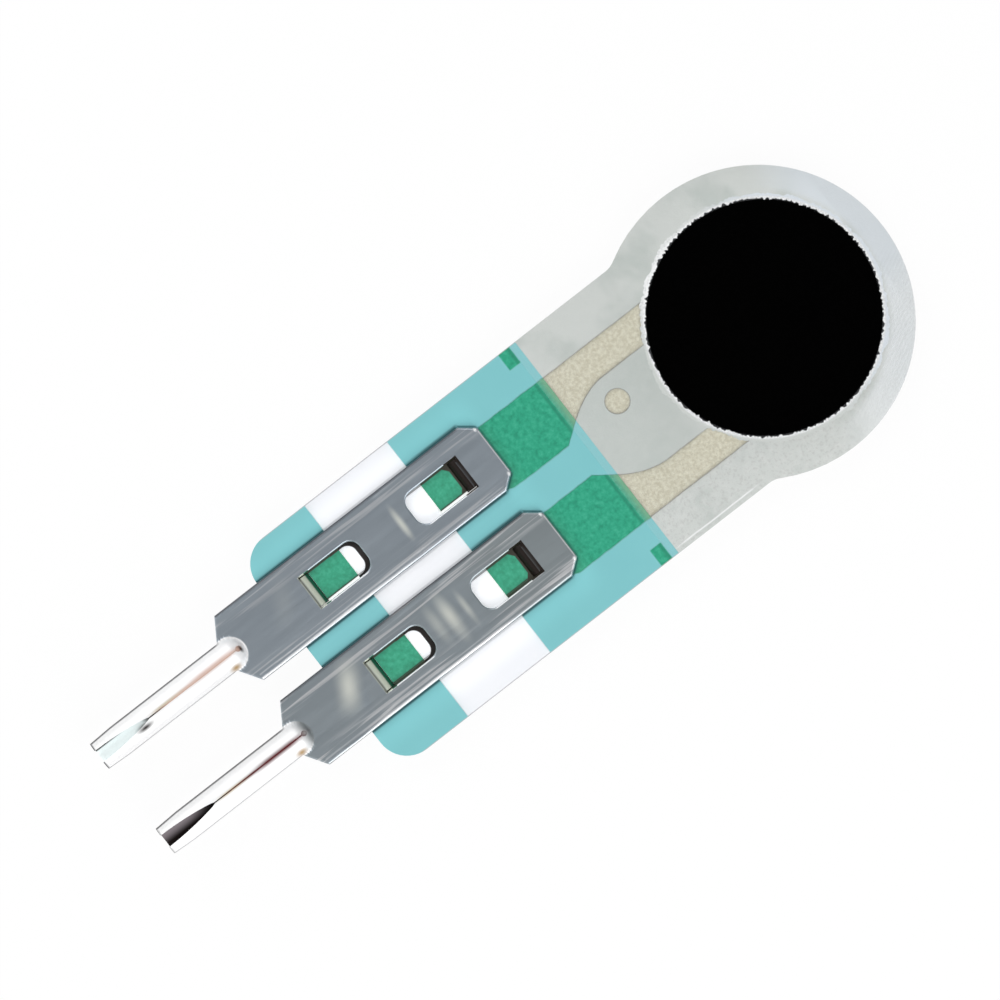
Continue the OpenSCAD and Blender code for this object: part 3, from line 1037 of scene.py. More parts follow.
# %% [markdown]
# ## A ragged round sheet
#
# The carbon disc is printed through a mesh, and the opening of the spacer is torn out of soft
# adhesive. Neither edge is a clean circle. Points could be pushed about by hand, but a circle
# whose radius wanders by a rule is work for Geometry Nodes: a circle curve, its points moved in
# and out by noise with a seed, then filled and given its thickness. One tree serves both pieces.

# %% One ragged circle
CIRCLE_POINTS = 900
SLOW_WAVES, FAST_WAVES = 2.2, 11.0


def ragged_circle(t, given, radius, shift, slow_share, fast_share):
    """One circle whose points wander in and out, slowly and in small teeth."""
    circle = t.node("GeometryNodeCurvePrimitiveCircle", None,
                    {"Resolution": CIRCLE_POINTS, "Radius": radius}, "Curve")
    where = t.node("GeometryNodeInputPosition")
    seed = given["Seed"] + shift
    scale = 1.0
    for waves, detail, swing in ((SLOW_WAVES, 1.0, given["Ragged"] * slow_share),
                                 (FAST_WAVES, 3.0, given["Fine"] * fast_share)):
        noise = t.node("ShaderNodeTexNoise", {"noise_dimensions": "4D"},
                       {"Vector": where, "W": seed, "Scale": waves, "Detail": detail})
        scale = (noise - 0.5) * swing + scale
    moved = t.node("ShaderNodeVectorMath", {"operation": "SCALE"}, {0: where, "Scale": scale})
    return t.node("GeometryNodeSetPosition", None, {"Geometry": circle, "Position": moved})


print("points on a circle", CIRCLE_POINTS)


# %% Give the flat sheet its thickness
def thicken(t, flat, thickness):
    """A closed sheet: the flat one, a lifted copy and the walls between them, welded."""
    lift = t.node("ShaderNodeCombineXYZ", None, {"Z": thickness})
    upper = t.node("GeometryNodeSetPosition", None, {"Geometry": flat, "Offset": lift})
    lower = t.node("GeometryNodeFlipFaces", None, {"Mesh": flat})
    sharing = t.node("GeometryNodeInputMeshEdgeNeighbors")
    outermost = t.node("FunctionNodeCompare", {"data_type": "INT", "operation": "EQUAL"},
                       {"A_INT": sharing, "B_INT": 1}, "Result")
    raised = t.node("GeometryNodeExtrudeMesh", {"mode": "EDGES"},
                    {"Mesh": flat, "Selection": outermost, "Offset": lift, "Offset Scale": 1.0},
                    "Mesh")
    normal = t.node("GeometryNodeInputNormal")
    upright = abs(t.node("ShaderNodeSeparateXYZ", None, {"Vector": normal}, "Z"))
    level = t.node("FunctionNodeCompare", {"data_type": "FLOAT", "operation": "GREATER_THAN"},
                   {"A": upright, "B": 0.5}, "Result")
    walls = t.node("GeometryNodeDeleteGeometry", {"domain": "FACE", "mode": "ONLY_FACE"},
                   {"Geometry": raised, "Selection": level})
    whole = t.node("GeometryNodeJoinGeometry", None, {0: [upper, lower, walls]})
    return t.node("GeometryNodeMergeByDistance", None, {"Geometry": whole, "Distance": WELD})


print("a sheet is welded from its two faces and its walls")


# %% The whole tree
SHEET_SIZES = ("Radius", "Hole", "Ragged", "Fine", "Seed", "Thickness")
NO_HOLE = 0.001


def ragged_tree(material):
    """Geometry nodes for a disc or a ring with ragged edges."""
    group = bpy.data.node_groups.new("ragged_sheet", "GeometryNodeTree")
    for name in SHEET_SIZES:
        group.interface.new_socket(name, in_out="INPUT", socket_type="NodeSocketFloat")
    group.interface.new_socket("Geometry", in_out="OUTPUT", socket_type="NodeSocketGeometry")
    t = Tree(group)
    given = {s.name: Value(t, s) for s in group.nodes.new("NodeGroupInput").outputs}
    outer = ragged_circle(t, given, given["Radius"], 0.0, 1.0, 0.6)
    inner = ragged_circle(t, given, t.most(given["Hole"], NO_HOLE), 7.0, 0.2, 1.0)
    has_hole = t.node("FunctionNodeCompare", {"data_type": "FLOAT", "operation": "GREATER_THAN"},
                      {"A": given["Hole"], "B": NO_HOLE}, "Result")
    hole = t.node("GeometryNodeSwitch", {"input_type": "GEOMETRY"},
                  {"Switch": has_hole, "True": inner})
    both = t.node("GeometryNodeJoinGeometry", None, {0: [outer, hole]})
    flat = t.node("GeometryNodeFillCurve", {"mode": "TRIANGLES"}, {"Curve": both})
    real = t.node("GeometryNodeRealizeInstances", None,
                  {"Geometry": thicken(t, flat, given["Thickness"])})
    painted = t.node("GeometryNodeSetMaterial", None, {"Geometry": real, "Material": material})
    t.node("NodeGroupOutput", None, {0: painted})
    print("ragged sheet tree has", len(group.nodes), "nodes")
    return group


print("sizes of a ragged sheet:", ", ".join(SHEET_SIZES))


# %% Run the tree
def grow(name, material, sizes, z_low, centre_y):
    """Runs the tree with its sizes set and gives a plain mesh, in millimetres."""
    tree = ragged_tree(material)
    holder = bpy.data.objects.new(name, bpy.data.meshes.new(name))
    modifier = holder.modifiers.new("grow", "NODES")
    modifier.node_group = tree
    sockets = {s.name: s.identifier for s in tree.interface.items_tree if s.in_out == "INPUT"}
    for key, value in sizes.items():
        modifier[sockets[key]] = float(value)
    return cleaned(plain_mesh(holder), move=(0, centre_y, z_low))


print("a tree is run once for each sheet")


# %% [markdown]
# ## The carbon disc
#
# The disc is printed on the underside of the upper film and fills the opening of the spacer. Its
# rim hides under the torn edge, so it is grown almost round and a touch too wide.

# %% The carbon disc
DISC_SPARE = 0.04

disc_mesh = grow("disc", carbon,
                 {"Radius": DISC_R + DISC_SPARE, "Hole": 0, "Ragged": 0.004, "Fine": 0.012,
                  "Seed": 3, "Thickness": disc_high.z - disc_low.z - APART},
                 disc_low.z, DISC_Y)
disc = show("carbon_print", disc_mesh, carbon, smooth_angle=60)
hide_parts("carbon_disc")

# %% [markdown]
# ## The torn edge of the spacer
#
# Round the opening the adhesive is white, in flakes that are widest on the left of the head. A
# white line could be painted on the spacer, but the teeth have to bite into the black disc. So a
# thin ring is grown by the same tree, with coarse teeth inside and a wandering edge outside, white
# in the flakes and as milky as the spacer elsewhere.

# %% Finish of the torn edge
FLAKE_GREY = (0.70, 0.71, 0.71)


def torn_rim_finish():
    f = Finish("torn_adhesive")
    grain = f.noise(22.0, 3.0, rough=0.6)
    flakes = f.spot(f.x, -2.2, -1.1, 2.2, 2.4)
    white = f.blend(f.over(grain, 0.52 - flakes * 0.1, 0.1), FLAKE_GREY, RIM_WHITE)
    outer = f.over(f.radius(0, DISC_Y) + (grain - 0.5) * 0.10, DISC_R + 0.05, 0.025)
    film = f.blend(f.over(f.y, 1.0, 1.0), MILK_PALE, RIM_BLUE)
    colour = f.blend(outer * (1 - flakes), white, film)
    return f.surface({"Base Color": colour, "Roughness": 0.5, "Normal": f.bump(grain, 0.01)})


torn = torn_rim_finish()


# %% Grow the torn edge
TORN_T = 0.034
TORN_OUT, TORN_IN = OPENING_R + 0.015, DISC_R - 0.005

ring_mesh = grow("ring", torn,
                 {"Radius": TORN_OUT, "Hole": TORN_IN, "Ragged": 0.06, "Fine": 0.1,
                  "Seed": 11, "Thickness": TORN_T},
                 Z_COVER - TORN_T, DISC_Y)
ring = show("torn_spacer_edge", ring_mesh, torn, smooth_angle=60)

# %% [markdown]
# ## The spacer
#
# The spacer has the films' outline, up to the teal coat, and a round opening. It is cut as the
# films are, and its opening ends under the torn edge.

# %% The spacer
SPACER_ROUND = 0.002
HOLE_SPARE = 0.06

hole = arc(0, DISC_Y, DISC_R + HOLE_SPARE, 0, -360, 180)[:-1]
spacer_mesh = cut_sheet([outline(Y_COAT_EDGE, 0), hole], box_mm("left_electrode")[1].z + APART,
                        Z_COVER - APART, SPACER_ROUND)
spacer = show("spacer_sheet", spacer_mesh, milky)
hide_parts("spacer_adhesive")

# %% [markdown]
# ## The stamped contacts
#
# Each contact starts as a strip of tinned copper alloy. A die punches two windows and bends the
# metal of each window down as a tine, the tines pierce the film and curl up under it, and the end
# of the strip is rolled up into a tube, with its seam towards the viewer. It is one sheet all
# along, so it is modelled as one skin: the flat body as a triangulated plan with points inside it
# that can be dented, and the pin as a row of cross-sections that go from flat to rolled.

# %% How far a point is from the edges of the flat body
WINDOWS = [(hinge + towards * WINDOW_L / 2, towards) for hinge, towards in HINGES]
SQUARE_R = 0.02


def outer_distance(x, y):
    """Distance inwards from the sides, the front and the front corners."""
    side = BODY_HALF - abs(x)
    corner = (side * CHAMFER_L + (Y_CONTACT - CHAMFER_L - y) * CHAMFER_W) / CHAMFER
    return min(side, Y_CONTACT - y, corner)


def window_distance(x, y, window):
    """Distance outwards from a window, which is round at one end and square at its hinge."""
    centre, towards = window
    along = (y - centre) * towards
    r = WINDOW_R if along > 0 else SQUARE_R
    u = abs(x) - WINDOW_HALF + r
    v = abs(along) - WINDOW_L / 2 + r
    return min(max(u, v), 0) + math.hypot(max(u, 0), max(v, 0)) - r


def edge_distance(x, y):
    """Distance to the nearest cut edge, more than 0 inside the sheet."""
    return min([outer_distance(x, y)] + [window_distance(x, y, w) for w in WINDOWS])


print("chamfer cuts", round(-outer_distance(BODY_HALF, Y_CONTACT), 3), "mm off each front corner")


# %% Soft steps and rounded edges
def rounded(distance, radius):
    """How far a rounded edge has dropped at a distance from the edge."""
    if distance >= radius:
        return 0.0
    return radius - math.sqrt(radius ** 2 - (radius - max(distance, 0)) ** 2)


def clamp(value):
    return min(max(value, 0.0), 1.0)


def smooth(value):
    """A smooth step from 0 to 1."""
    t = clamp(value)
    return t * t * (3 - 2 * t)


print("drop at the cut edge", rounded(0, EDGE_R), "mm")


# %% [markdown]
# ## Dents
#
# Crimping never leaves a strip flat: there is a shallow bead between the windows and a soft swirl
# behind them, and they are what the light catches. Sculpting them would do, but a few bell curves
# on the height of each point are easier to place.

# %% The dents that crimping leaves in the sheet
JOIN_Y = -14.15
BEAD_Y, BAND_Y, SWIRL_Y = -9.72, -10.15, -13.05
UNDER_R = 0.02
WINDOW_EDGE_R = 0.035
TINE_GRIP = 0.06
CALM_L, CALM_W, CALM_RIM = 0.4, 0.3, 0.3


def dent(side, x, y):
    """Height of the sheet's soft waves, in millimetres. The two contacts differ a little."""
    wave = -0.014 * math.exp(-((y - BEAD_Y + 0.02 * side) / 0.13) ** 2)
    wave += 0.012 * math.exp(-((y - BAND_Y) / 0.22) ** 2) * (1 if side > 0 else 0.4)
    swirl = math.exp(-((y - SWIRL_Y) ** 2 + (x * 1.1) ** 2) / 0.12)
    wave += 0.018 * swirl * (1 if side > 0 else 0.15)
    wave -= 0.008 * (x / BODY_HALF) ** 2
    return wave - 0.01


def sheet_heights(side, x, y):
    """Upper and lower height of the flat body at a point."""
    outer = outer_distance(x, y)
    upper = rounded(outer, EDGE_R)
    lower = rounded(outer, UNDER_R)
    for window in WINDOWS:
        away = window_distance(x, y, window)
        centre, towards = window
        at_hinge = (y - centre) * towards < -WINDOW_L / 2 + 1e-6
        held = 1 - smooth((abs(x) - TINE_HALF + TINE_GRIP) / TINE_GRIP) if at_hinge else 0
        upper = max(upper, rounded(away, WINDOW_EDGE_R) * (1 - held))
        lower = max(lower, rounded(away, UNDER_R) * (1 - held))
    calm = smooth((y - JOIN_Y) / CALM_L) * smooth(outer / CALM_W + CALM_RIM)
    lift = dent(side, x, y) * calm
    return Z_SHEET - upper + min(lift, 0), Z_COVER + lower


print("the bead between the windows is", round(-dent(1, 0, BEAD_Y), 3), "mm deep")


# %% [markdown]
# ## The plan of the flat body
#
# Seen from above, the body is a strip with chamfered corners and two windows. A grid cut by the
# outline leaves jagged edges, and a single face can't bend. So rows of points follow every edge,
# a few hundredths of a millimetre apart where it is rounded, a grid fills the rest, and a Delaunay
# triangulation joins them all.

# %% Points of the plan
EDGE_STEPS = (0.0, 0.006, 0.02, 0.038, 0.06)
EDGE_STEP = 0.09
PLAN_STEP = 0.075
TINE_COLUMNS = [TINE_HALF * i / 5 for i in range(-5, 6)]
DISH_POINTS = 12
FLAT_POINTS = 10
DISH_HALF = 0.34


def split(points, step):
    """The same line with points added, so that none are further apart than a step."""
    made = [points[0]]
    for (x0, y0), (x1, y1) in zip(points, points[1:]):
        count = max(1, math.ceil(math.hypot(x1 - x0, y1 - y0) / step))
        made += [(x0 + (x1 - x0) * i / count, y0 + (y1 - y0) * i / count)
                 for i in range(1, count + 1)]
    return made


def side_line(inset):
    """The right side and half the front, inset from the edge, from the join forwards."""
    x = BODY_HALF - inset
    lower_y = Y_CONTACT - CHAMFER_L - inset * (CHAMFER - CHAMFER_L) / CHAMFER_W
    upper_x = BODY_HALF - (inset * CHAMFER + (CHAMFER_L - inset) * CHAMFER_W) / CHAMFER_L
    return split([(x, JOIN_Y), (x, lower_y), (upper_x, Y_CONTACT - inset),
                  (0, Y_CONTACT - inset)], EDGE_STEP)


def window_line(window, outset):
    """A closed line round a window, at a distance outside its edge."""
    centre, towards = window
    half_l = WINDOW_L / 2
    square = arc(WINDOW_HALF - SQUARE_R, SQUARE_R - half_l, SQUARE_R + outset, -90, 0, 3)
    round_end = arc(WINDOW_HALF - WINDOW_R, half_l - WINDOW_R, WINDOW_R + outset, 0, 90, 9)
    hinge = [(x, -half_l - outset) for x in TINE_COLUMNS if x >= 0]
    half = hinge + square + split([square[-1], round_end[0]], EDGE_STEP)[1:-1] + round_end
    half += [(0, half_l + outset)]
    whole = half + [(-x, v) for x, v in reversed(half[1:-1])]
    return [(x, centre + towards * v) for x, v in whole]


def section_columns(half):
    """Where the points of a cross-section lie on the right side, from the middle outwards."""
    columns = [DISH_HALF * i / DISH_POINTS for i in range(DISH_POINTS + 1)]
    flat = half - EDGE_STEPS[-1] - DISH_HALF
    columns += [DISH_HALF + flat * i / FLAT_POINTS for i in range(1, FLAT_POINTS)]
    return columns + [half - d for d in reversed(EDGE_STEPS)]


print("points round a window", len(window_line(WINDOWS[0], 0)))


# %% Triangles of the plan
def plan_triangles():
    """Points and triangles of the flat body, seen from above."""
    points, edges, found = [], [], {}

    def index(x, y):
        key = (round(x, 5), round(y, 5))
        if key not in found:
            found[key] = len(points)
            points.append(key)
        return found[key]

    def chain(line, closed):
        ids = [index(x, y) for x, y in line]
        ends = ids[1:] + ids[:1] if closed else ids[1:]
        edges.extend((a, b) for a, b in zip(ids, ends) if a != b)

    for inset in EDGE_STEPS:
        line = side_line(inset)
        chain(line, False)
        chain([(-x, y) for x, y in line], False)
        for window in WINDOWS:
            chain(window_line(window, inset), True)
    columns = section_columns(BODY_HALF)
    chain([(x, JOIN_Y) for x in sorted({s * c for c in columns for s in (-1, 1)})], False)
    clear = EDGE_STEPS[-1] + 0.5 * PLAN_STEP
    for y in np.arange(JOIN_Y + PLAN_STEP, Y_CONTACT, PLAN_STEP):
        for x in np.linspace(-BODY_HALF, BODY_HALF, round(2 * BODY_HALF / PLAN_STEP) + 1):
            if edge_distance(x, y) > clear:
                index(float(x), float(y))
    result = delaunay_2d_cdt([Vector(p) for p in points], edges, [], 0, 1e-6)
    places = [tuple(v) for v in result[0]]
    kept = []
    for face in result[2]:
        x = sum(places[i][0] for i in face) / 3
        y = sum(places[i][1] for i in face) / 3
        if edge_distance(x, y) > 0 and y > JOIN_Y:
            kept.append(tuple(face))
    return places, kept


plan_points, plan_faces = plan_triangles()
print("plan points", len(plan_points), "triangles", len(plan_faces))


# %% [markdown]
# ## The rolled pin
#
# The end of the strip is rolled up into a tube: a domed nose on the body, a closed seam along the
# top and a gape at the tip. A tube could be joined to the strip, but then the seam between the two
# would show. So the skin of the strip is carried on, row by row, and each row is a cross-section
# that is a little less flat and a little more round than the one before.

# %% The outside of the rolled end
MOUTH_R = 0.07
MOUTH_END_Y = MOUTH_Y + MOUTH_R
SEAM_HALF = 0.014
GAPE_HALF = 0.17
GAPE_L = 1.5
TIP_L = 0.6
TIP_R = 0.37
BLEND = 0.03
NECK_FADE = 0.04
SKIN_SAMPLES = 161


def skin_half(y):
    """Half the width of the contact at a place along it."""
    if y <= NECK_Y:
        return PIN_R + (TIP_R - PIN_R) * clamp((Y_TIP + TIP_L - y) / TIP_L)
    return BODY_HALF + (PIN_R - BODY_HALF) * clamp((BODY_END - y) / (BODY_END - NECK_Y))


def skin_height(x, y, edge_r):
    """How far the skin stands off the axis of the pin: the flat sheet, or the barrel on it."""
    half = skin_half(y)
    fade = clamp((y - NECK_Y) / NECK_FADE + 1)
    sheet = (SHEET_T / 2 - rounded(half - x, edge_r)) * fade
    barrel_r = min(half, PIN_R)
    ahead = max(y - DOME_Y, 0)
    barrel = math.sqrt(max(barrel_r ** 2 - x * x - ahead * ahead, 0))
    near = max(BLEND - abs(sheet - barrel), 0) / BLEND
    return max(sheet, barrel) + near * near * BLEND / 4


def spread(y, start, count, edge_r):
    """Places across the right side at even steps along the skin, closer at its edge."""
    half = skin_half(y)
    xs = np.linspace(start, half, SKIN_SAMPLES)
    zs = np.array([skin_height(x, y, edge_r) for x in xs])
    steps = np.hypot(np.diff(xs), np.diff(zs))
    steps[xs[1:] > half - EDGE_R] *= 1 + 3 * clamp((y - NECK_Y) / 0.1)
    length = np.concatenate([[0], np.cumsum(steps)])
    return np.interp(np.linspace(0, length[-1], count), length, xs)


print("pin is", 2 * PIN_R, "mm thick,", 2 * TIP_R, "at its tip")

# %% Cross-sections of the rolled end
RIM_POINTS = FLAT_POINTS + len(EDGE_STEPS) - 1
ROOT_R = 0.1
LEAVE_L, SINK_L = 0.12, 0.02
SEAM_WALL = 0.006
GAPE_CURVE = 0.75


def opening_half(y):
    """Half the width of the seam: its mouth, the closed stretch or the gape at the tip."""
    mouth = math.sqrt(max(MOUTH_R ** 2 - (y - MOUTH_Y) ** 2, 0))
    gape = math.sin(clamp((Y_TIP + GAPE_L - y) / GAPE_L) * math.pi / 2) ** GAPE_CURVE
    return max(mouth, SEAM_HALF + (GAPE_HALF - SEAM_HALF) * gape)


def leave_plan(y, places):
    """Goes from the columns of the flat body to other places, soon after the join."""
    near = clamp((JOIN_Y - y) / LEAVE_L)
    return [a + (b - a) * near for a, b in zip(section_columns(BODY_HALF), places)]


def upper_half(y):
    """Right half of the upper line. Its middle points go down into the seam and the channel."""
    half = opening_half(y)
    squeezed = DISH_HALF + (half - DISH_HALF) * clamp((JOIN_Y - y) / (JOIN_Y - MOUTH_END_Y))
    rim = spread(y, squeezed, RIM_POINTS + 1, EDGE_R)
    middle = [squeezed * i / DISH_POINTS for i in range(DISH_POINTS)]
    line = [(x, PIN_Z + skin_height(x, y, EDGE_R)) for x in leave_plan(y, middle + list(rim))]
    depth = clamp((MOUTH_END_Y - y) / SINK_L)
    if depth > 0:
        grown = clamp((MOUTH_Y - y) / (MOUTH_Y - DOME_Y))
        inner_r = max(ROOT_R + (CHANNEL_R - ROOT_R) * grown, half + SEAM_WALL)
        turn = math.pi - math.asin(half / inner_r)
        for i in range(DISH_POINTS):
            angle = turn * i / (DISH_POINTS - 1)
            x, z = inner_r * math.sin(angle), PIN_Z - inner_r * math.cos(angle)
            line[i] = (line[i][0] + (x - line[i][0]) * depth, line[i][1] + (z - line[i][1]) * depth)
    return line


print("seam opens to", round(2 * opening_half(Y_TIP), 3), "mm at the tip")


# %% Whole sections and where they stand
def lower_half(y):
    """Right half of the lower line, which is the underside of the sheet and of the barrel."""
    even = spread(y, 0.0, DISH_POINTS + RIM_POINTS + 1, UNDER_R)
    return [(x, PIN_Z - skin_height(x, y, UNDER_R)) for x in leave_plan(y, even)]


def pin_section(y):
    """The whole cross-section at a place along the contact: its upper and lower line."""
    return [[(-x, z) for x, z in reversed(line[1:])] + line
            for line in (upper_half(y), lower_half(y))]


def steps_between(start, end, step):
    """Even steps from the start up to the end, without the start itself."""
    return list(np.linspace(start, end, max(2, round(abs(end - start) / step) + 1))[1:])


pin_rows = [JOIN_Y]
for end, step in ((NOSE_Y + 0.08, 0.03), (MOUTH_END_Y, 0.012), (MOUTH_Y - MOUTH_R, 0.008),
                  (NECK_Y - 0.05, 0.025), (Y_TIP + GAPE_L, 0.5), (Y_TIP, 0.08)):
    pin_rows += [float(v) for v in steps_between(pin_rows[-1], end, step)]
print("cross-sections", len(pin_rows), "points in each", 2 * len(pin_section(pin_rows[0])[0]))


# %% [markdown]
# ## The tines
#
# The metal of each window is bent down, goes through the film and curls up under it, back towards
# its hinge, like the leg of a staple. Each tine is the same strip seen from the side: a bend, a
# straight leg and a half circle, given as pairs of points on its outer and its inner face.

# %% A tine, seen from the side
BEND_R = 0.05
CURL_R = 0.15
CURL_DROP = 0.049
BEND_STEP = 15
TIP_DROP, TIP_OUTER, TIP_INNER = 0.01, 0.05, 0.03


def tine_stations():
    """Pairs of points, outer and inner, along a tine: forwards from its hinge, and height."""
    curl_x = BEND_R - CURL_R
    bend = [arc(0, Z_COVER - BEND_R, r, 90 - BEND_STEP, 0, 90 // BEND_STEP - 1)
            for r in (BEND_R + SHEET_T, BEND_R)]
    curl = [arc(curl_x, film_low.z - CURL_DROP, r, 0, -180, 180 // BEND_STEP)
            for r in (CURL_R + SHEET_T, CURL_R)]
    tip_z = film_low.z - TIP_DROP
    tip = ((curl_x - CURL_R - SHEET_T + TIP_OUTER, tip_z), (curl_x - CURL_R - TIP_INNER, tip_z))
    return [*zip(*bend), *zip(*curl), tip]


print("pairs of points along a tine", len(tine_stations()))


# %% [markdown]
# ## One skin
#
# A contact is a single piece of metal, so it becomes a single closed skin, without faces inside it
# where body, tines and pin meet. Separate meshes could be fused by a boolean, which would leave
# slivers at every bend. Here each part starts from a row of points of the one before.

# %% A skin that grows row by row
class Skin:
    """Points and faces of a closed skin, which has an upper and a lower side."""

    def __init__(self):
        self.verts = []
        self.faces = []

    def add(self, points):
        """Adds points and gives their numbers."""
        start = len(self.verts)
        self.verts += points
        return list(range(start, len(self.verts)))

    def join(self, first, second):
        """Four-sided faces between two rows of as many points."""
        for i in range(len(first) - 1):
            self.faces.append((first[i], first[i + 1], second[i + 1], second[i]))

    def carry_on(self, rows, new_rows):
        """The top, the underside and both side walls from one pair of rows to the next."""
        for row, new_row in zip(rows, new_rows):
            self.join(row, new_row)
        for end in (0, -1):
            self.faces.append((rows[0][end], new_rows[0][end], new_rows[1][end], rows[1][end]))
        return new_rows


print("a skin can", words_of(Skin))


# %% The walls of the flat body
SAME = 0.0001


def cut_edges():
    """Edges of the plan that get a wall: all but the join to the pin and the tines' hinges."""
    uses = {}
    for a, b, c in plan_faces:
        for pair in ((a, b), (b, c), (c, a)):
            uses[frozenset(pair)] = uses.get(frozenset(pair), 0) + 1
    found = []
    for a, b in (tuple(p) for p, n in uses.items() if n == 1):
        (xa, ya), (xb, yb) = plan_points[a], plan_points[b]
        at_join = max(ya, yb) < JOIN_Y + SAME
        at_hinge = any(abs(ya - h) < SAME and abs(yb - h) < SAME for h, _ in HINGES)
        if not at_join and not (at_hinge and max(abs(xa), abs(xb)) < TINE_HALF + SAME):
            found.append((a, b))
    return found


print("edges of the plan with a wall", len(cut_edges()))


# %% Body, tines and pin
PLAN_INDEX = {(round(x, 4), round(y, 4)): i for i, (x, y) in enumerate(plan_points)}


def plan_rows(lower, columns, y):
    """The upper and lower row of the body at some columns, where another part starts."""
    upper = [PLAN_INDEX[(round(x, 4), round(y, 4))] for x in columns]
    return upper, [lower[i] for i in upper]


def add_body(skin, side):
    """Adds the flat body, and gives the numbers of its lower points."""
    heights = [sheet_heights(side, x, y) for x, y in plan_points]
    skin.add([(*point, high) for point, (high, _) in zip(plan_points, heights)])
    lower = skin.add([(*point, low) for point, (_, low) in zip(plan_points, heights)])
    skin.faces += plan_faces + [tuple(lower[i] for i in face) for face in plan_faces]
    skin.faces += [(a, b, lower[b], lower[a]) for a, b in cut_edges()]
    return lower


def add_tine(skin, lower, hinge, towards):
    rows = plan_rows(lower, TINE_COLUMNS, hinge)
    for pair in tine_stations():
        rows = skin.carry_on(rows, [skin.add([(x, hinge + towards * y, z) for x in TINE_COLUMNS])
                                    for y, z in pair])
    skin.join(*rows)


def add_pin(skin, lower):
    rows = plan_rows(lower, [x for x, _ in pin_section(JOIN_Y)[0]], JOIN_Y)
    for y in pin_rows[1:]:
        rows = skin.carry_on(rows, [skin.add([(x, y, z) for x, z in line])
                                    for line in pin_section(y)])
    skin.join(*rows)


print("points across a tine", len(TINE_COLUMNS))


# %% Put one contact together
def contact_mesh(name, side):
    """The whole skin of a contact: body, two tines and the rolled pin."""
    skin = Skin()
    lower = add_body(skin, side)
    for hinge, towards in HINGES:
        add_tine(skin, lower, hinge, towards)
    add_pin(skin, lower)
    mesh = bpy.data.meshes.new(name)
    mesh.from_pydata([(x + CONTACT_X[name], y, z) for x, y, z in skin.verts], [], skin.faces)
    return cleaned(mesh)


print("a contact has", len(HINGES), "tines")


# %% [markdown]
# ## Tinned metal
#
# Bright tin over stamped metal: grey where it mirrors the dim overhead, with streaks along the
# rolling direction, bright lines on the edges to the right, dark ones on the left, and pins that
# look white. Lamps alone can't give all of it, because the real room can't be known. So the metal
# mirrors the studio, and the rest is painted into its colour: the streaks partly as the tin's own
# marks and partly as painted reflection, the bright lines, the bands on the dents and the white of
# the pins as painted highlights and reflections, and the dark lines as painted shade, with less
# metal in them, so that they keep their tone from every side.

# %% Tones of the flat body
TIN = (0.465, 0.520, 0.568)
TIN_DARK = (0.342, 0.392, 0.438)
TIN_GREY = (0.330, 0.365, 0.345)
# Colour of the painted highlight streaks near the sides.
STREAK_HIGHLIGHT = (0.850, 0.850, 0.860)
# Colour of the painted highlights on the dents.
DENT_HIGHLIGHT = (0.830, 0.845, 0.770)
LONG_CLOUDS = (1.0, 0.6, 1.0)
WARM_Y = -9.0


def streaky_tone(f, right, local):
    """The tin's tone, with streaks along it that are partly its own marks and partly painted
    reflection, and finer painted highlight streaks near its sides.
    """
    streaks = f.noise(1.5, 3.0, (3.2, 0.22, 1.0), 0.55)
    cloud = f.noise(0.8, 2.0, LONG_CLOUDS)
    warm = right * (0.25 + f.over(f.y, WARM_Y, 0.8) * 0.2)
    # Finer, paler streaks near the sides: painted highlights.
    fine = f.over(f.noise(2.2, 2.0, (5.0, 0.16, 1.0)), 0.56, 0.07)
    fine = fine * f.over(abs(local), 0.58, 0.14) * (0.5 + right * 0.3)
    tone = f.paint(TIN_DARK, (streaks * 0.6 + cloud * 0.4, TIN), (warm, TIN_GREY),
                   (fine, STREAK_HIGHLIGHT))
    return tone, streaks, cloud


def dent_light(f, right, local, cloud):
    """Painted highlights on the bands of the dents, and painted shade beside the swirl behind
    the windows.
    """
    bend = local + (cloud - 0.5) * 0.7
    bead = f.spot(bend, 0.0, BEAD_Y + 0.1, 0.62, 0.13) * (1 - right * 0.35)
    band = f.spot(bend, -0.05, BAND_Y + 0.1, 0.95, 0.26)
    band = band + f.spot(bend, -0.1, BAND_Y - 0.27, 0.8, 0.22) * 0.5
    swirl = f.y + bend * 0.55
    halo = f.line(swirl, SWIRL_Y - 0.05, 0.5) * f.spot(local, -0.25, SWIRL_Y, 0.8, 1.2)
    dent_shade = f.line(swirl, SWIRL_Y + 0.33, 0.22) * f.spot(local, 0.25, SWIRL_Y + 0.25, 0.5, 0.7)
    shine = f.most(bead * 0.9, band * right * 0.85, halo * (0.12 + right * 0.78))
    return shine, dent_shade * right * 0.5


print("tin between", TIN_DARK, "and", TIN)


# %% Lines along its edges
def window_rows(f):
    """1 beside the windows."""
    rear = f.between(f.y, REAR_HINGE + 0.02, REAR_HINGE + WINDOW_L - 0.2, 0.05)
    front = f.between(f.y, FRONT_HINGE - WINDOW_L + 0.2, FRONT_HINGE - 0.02, 0.05)
    return rear + front


